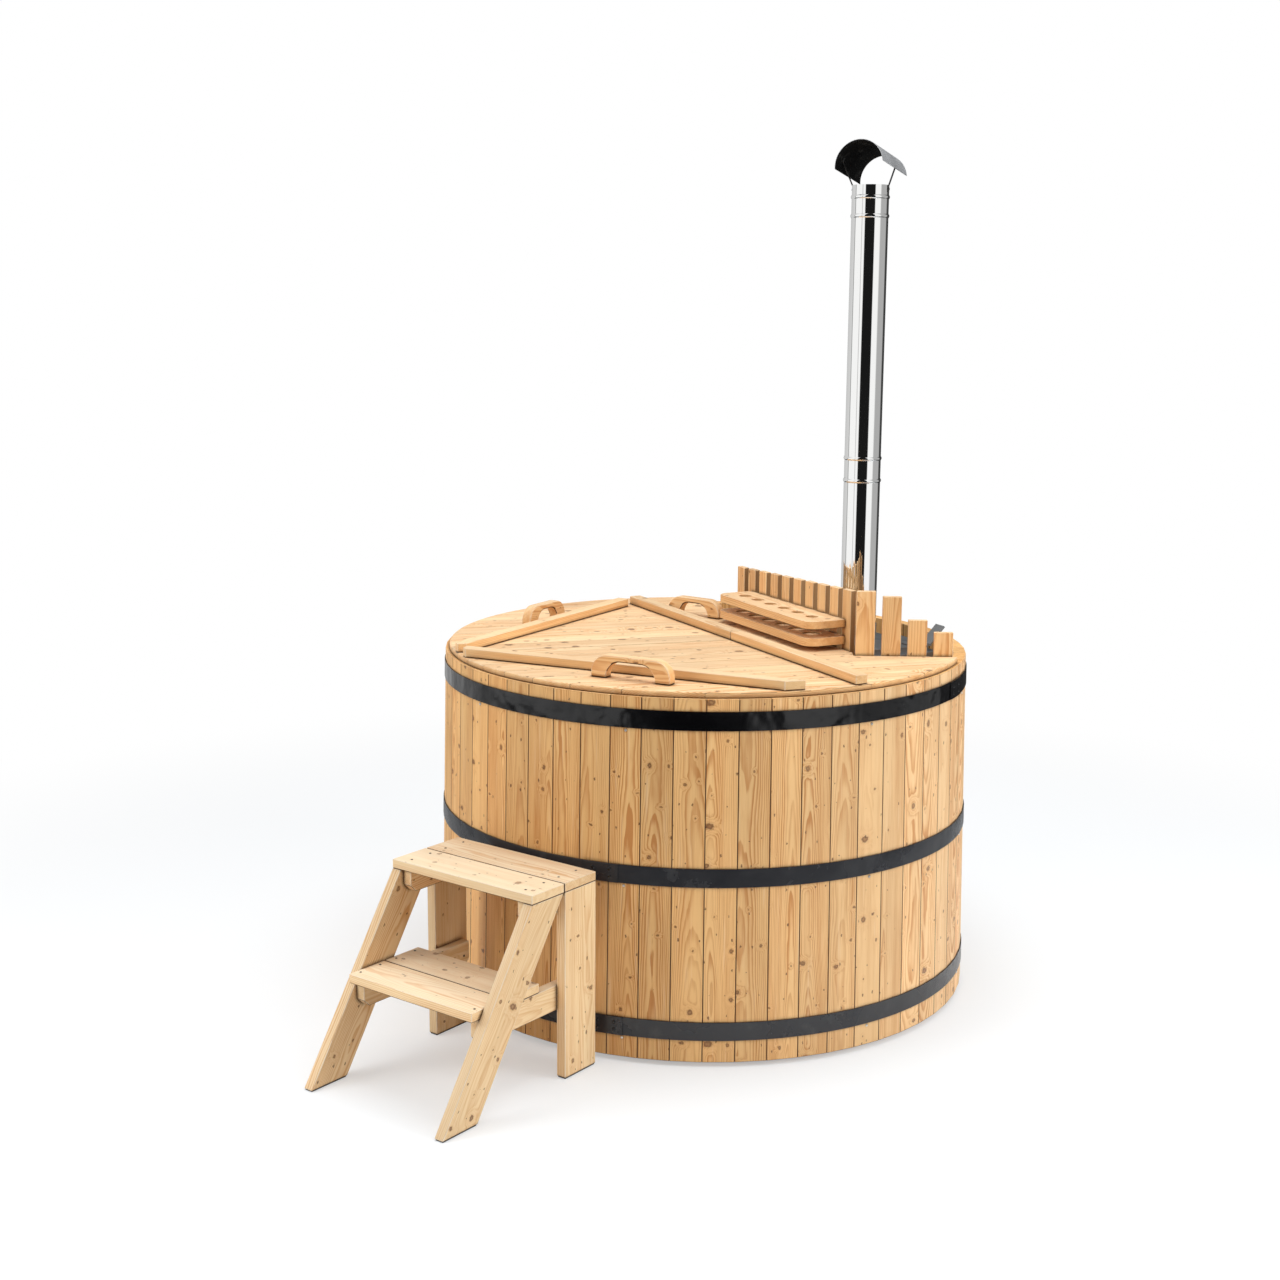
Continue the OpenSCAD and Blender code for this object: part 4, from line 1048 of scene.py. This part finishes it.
def floor_material():
    """Pale and matt round the tub, fading to white for the camera and to black in metal."""
    colour = bpy.context.scene.hot_tub_studio.floor
    material = bpy.data.materials.new("Pale floor")
    tree = empty_tree(material)
    place = object_place(tree)
    cloudy = calc(tree, "MULTIPLY", noise(tree, place, 0.8, 2), 0.3)
    pale = blend(tree, cloudy, rgba(colour), rgba([c * 0.97 for c in colour]))
    matt = node(tree, "BsdfDiffuse", {"Color": pale}).outputs[0]
    white = node(tree, "Emission", {"Color": WHITE, "Strength": 1.0}).outputs[0]
    unlit = node(tree, "Emission", {"Color": (0, 0, 0, 1), "Strength": 0.0}).outputs[0]
    paths = node(tree, "LightPath").outputs
    away = length(tree, place)
    fade = spread(tree, away, 0.4 * FLOOR_RADIUS, 0.95 * FLOOR_RADIUS, FLOOR_WHITE, 1.0)
    shown = mixed(tree, calc(tree, "MULTIPLY", fade, seen_plainly(tree, paths)), matt, white)
    far = spread(tree, away, 0.25 * FLOOR_RADIUS, 0.85 * FLOOR_RADIUS)
    far = calc(tree, "MULTIPLY", paths["Is Glossy Ray"], far)
    node(tree, "OutputMaterial", {"Surface": mixed(tree, far, shown, unlit)})
    return material


def studio_floor():
    """A round floor, just below the tub's foot."""
    mesh = bmesh.new()
    bmesh.ops.create_circle(mesh, cap_ends=True, radius=FLOOR_RADIUS, segments=96)
    data = bpy.data.meshes.new("Floor")
    mesh.to_mesh(data)
    mesh.free()
    data.materials.append(floor_material())
    floor = put_in_scene("Floor", data)
    floor.location.z = -FLOOR_DROP


def area_lamp(name, place, aim, size, power, colour=(1, 1, 1)):
    """A soft lamp, which bright metal doesn't mirror."""
    lamp = bpy.data.lights.new(name, "AREA")
    lamp.shape = "RECTANGLE"
    lamp.size, lamp.size_y = size
    lamp.energy = power
    lamp.color = colour
    holder = put_in_scene(name, lamp)
    holder.visible_glossy = False
    holder.location = place
    holder.rotation_mode = "QUATERNION"
    holder.rotation_quaternion = (Vector(aim) - Vector(place)).to_track_quat("-Z", "Y")


def studio_sky():
    """White to the camera, soft light all round, and white and dark walls for bright metal."""
    studio = bpy.context.scene.hot_tub_studio
    world = bpy.data.worlds.new("Studio")
    bpy.context.scene.world = world
    tree = empty_tree(world)
    ray = node(tree, "SeparateXYZ", {0: node(tree, "TexCoord").outputs["Generated"]}).outputs
    turn = calc(tree, "ARCTAN2", ray[0], calc(tree, "MULTIPLY", ray[1], -1.0))
    turn = scaled(tree, turn, 0.5 / math.pi, 0.5)
    soft = blend(tree, spread(tree, ray[2], 0.5, 0.9), ramp(tree, turn, SOFT_LIGHT), WHITE)
    walls = node(tree, "Background", {
        "Color": ramp(tree, turn, MIRRORED), "Strength": 1.0}).outputs[0]
    soft = node(tree, "Background", {"Color": soft, "Strength": studio.fill}).outputs[0]
    white = node(tree, "Background", {"Color": WHITE, "Strength": 1.0}).outputs[0]
    paths = node(tree, "LightPath").outputs
    lit = mixed(tree, paths["Is Glossy Ray"], soft, walls)
    node(tree, "OutputWorld", {"Surface": mixed(tree, seen_plainly(tree, paths), lit, white)})


def studio_camera():
    """The camera, at the viewing angle of the photo."""
    studio = bpy.context.scene.hot_tub_studio
    data = bpy.data.cameras.new("Camera")
    data.sensor_width = SENSOR
    data.lens = studio.lens
    camera = put_in_scene("Camera", data)
    pitch, yaw, roll = studio.camera_pitch, studio.camera_yaw, studio.camera_roll
    side = level(yaw)
    ahead = Vector((
        -math.sin(yaw) * math.cos(pitch), math.cos(yaw) * math.cos(pitch), -math.sin(pitch)))
    up = side.cross(ahead)
    right = side * math.cos(roll) + up * math.sin(roll)
    top = right.cross(ahead)
    turn = Matrix((right, top, -ahead)).transposed().to_4x4()
    camera.matrix_world = Matrix.Translation(studio.camera_place) @ turn
    bpy.context.scene.camera = camera


class HOTTUB_OT_stage(HotTubPiece, bpy.types.Operator):
    """Set up the floor, the lamps, the white surround and the camera"""

    bl_idname = "hottub.stage"
    bl_label = "Stage"

    def execute(self, context):
        studio = context.scene.hot_tub_studio
        context.scene.view_settings.view_transform = "Standard"
        studio_floor()
        studio_sky()
        area_lamp("Right lamp", (4.9, -2.2, 2.8), LAMP_AIM, SIDE_LAMP, studio.right_power,
                  studio.cool)
        area_lamp("Left lamp", (-4.8, -2.4, 3.0), LAMP_AIM, SIDE_LAMP, studio.left_power)
        area_lamp("Top lamp", (0.3, -0.2, 5.2), TOP_LAMP_AIM, TOP_LAMP, studio.top_power,
                  studio.cool)
        studio_camera()
        return {"FINISHED"}


# ---- Panel and registration ----------------------------------------------------------------

OPERATORS = (
    HOTTUB_OT_materials, HOTTUB_OT_tub, HOTTUB_OT_hoops, HOTTUB_OT_bench, HOTTUB_OT_drain,
    HOTTUB_OT_stove, HOTTUB_OT_chimney, HOTTUB_OT_rain_cap, HOTTUB_OT_fence,
    HOTTUB_OT_shelves, HOTTUB_OT_lid, HOTTUB_OT_stool, HOTTUB_OT_stage,
)


class HOTTUB_PT_sidebar(bpy.types.Panel):
    """Lists the hot tub's settings and pieces"""

    bl_idname = "HOTTUB_PT_sidebar"
    bl_label = "Hot Tub"
    bl_space_type = "VIEW_3D"
    bl_region_type = "UI"
    bl_category = "Hot Tub"

    def draw(self, context):
        scene = context.scene
        for settings in (scene.hot_tub_wood, scene.hot_tub_metal, scene.hot_tub_studio):
            box = self.layout.box()
            for name in settings.__annotations__:
                box.prop(settings, name)
        for operator in OPERATORS:
            self.layout.operator(operator.bl_idname)


CLASSES = (HotTubWood, HotTubMetal, HotTubStudio, *OPERATORS, HOTTUB_PT_sidebar)


def register():
    for cls in CLASSES:
        bpy.utils.register_class(cls)
    bpy.types.Scene.hot_tub_wood = bpy.props.PointerProperty(type=HotTubWood)
    bpy.types.Scene.hot_tub_metal = bpy.props.PointerProperty(type=HotTubMetal)
    bpy.types.Scene.hot_tub_studio = bpy.props.PointerProperty(type=HotTubStudio)


def unregister():
    del bpy.types.Scene.hot_tub_studio
    del bpy.types.Scene.hot_tub_metal
    del bpy.types.Scene.hot_tub_wood
    for cls in reversed(CLASSES):
        bpy.utils.unregister_class(cls)


def main():
    register()
    for operator in OPERATORS:
        family, name = operator.bl_idname.split(".")
        getattr(getattr(bpy.ops, family), name)()


if __name__ == "__main__":
    main()
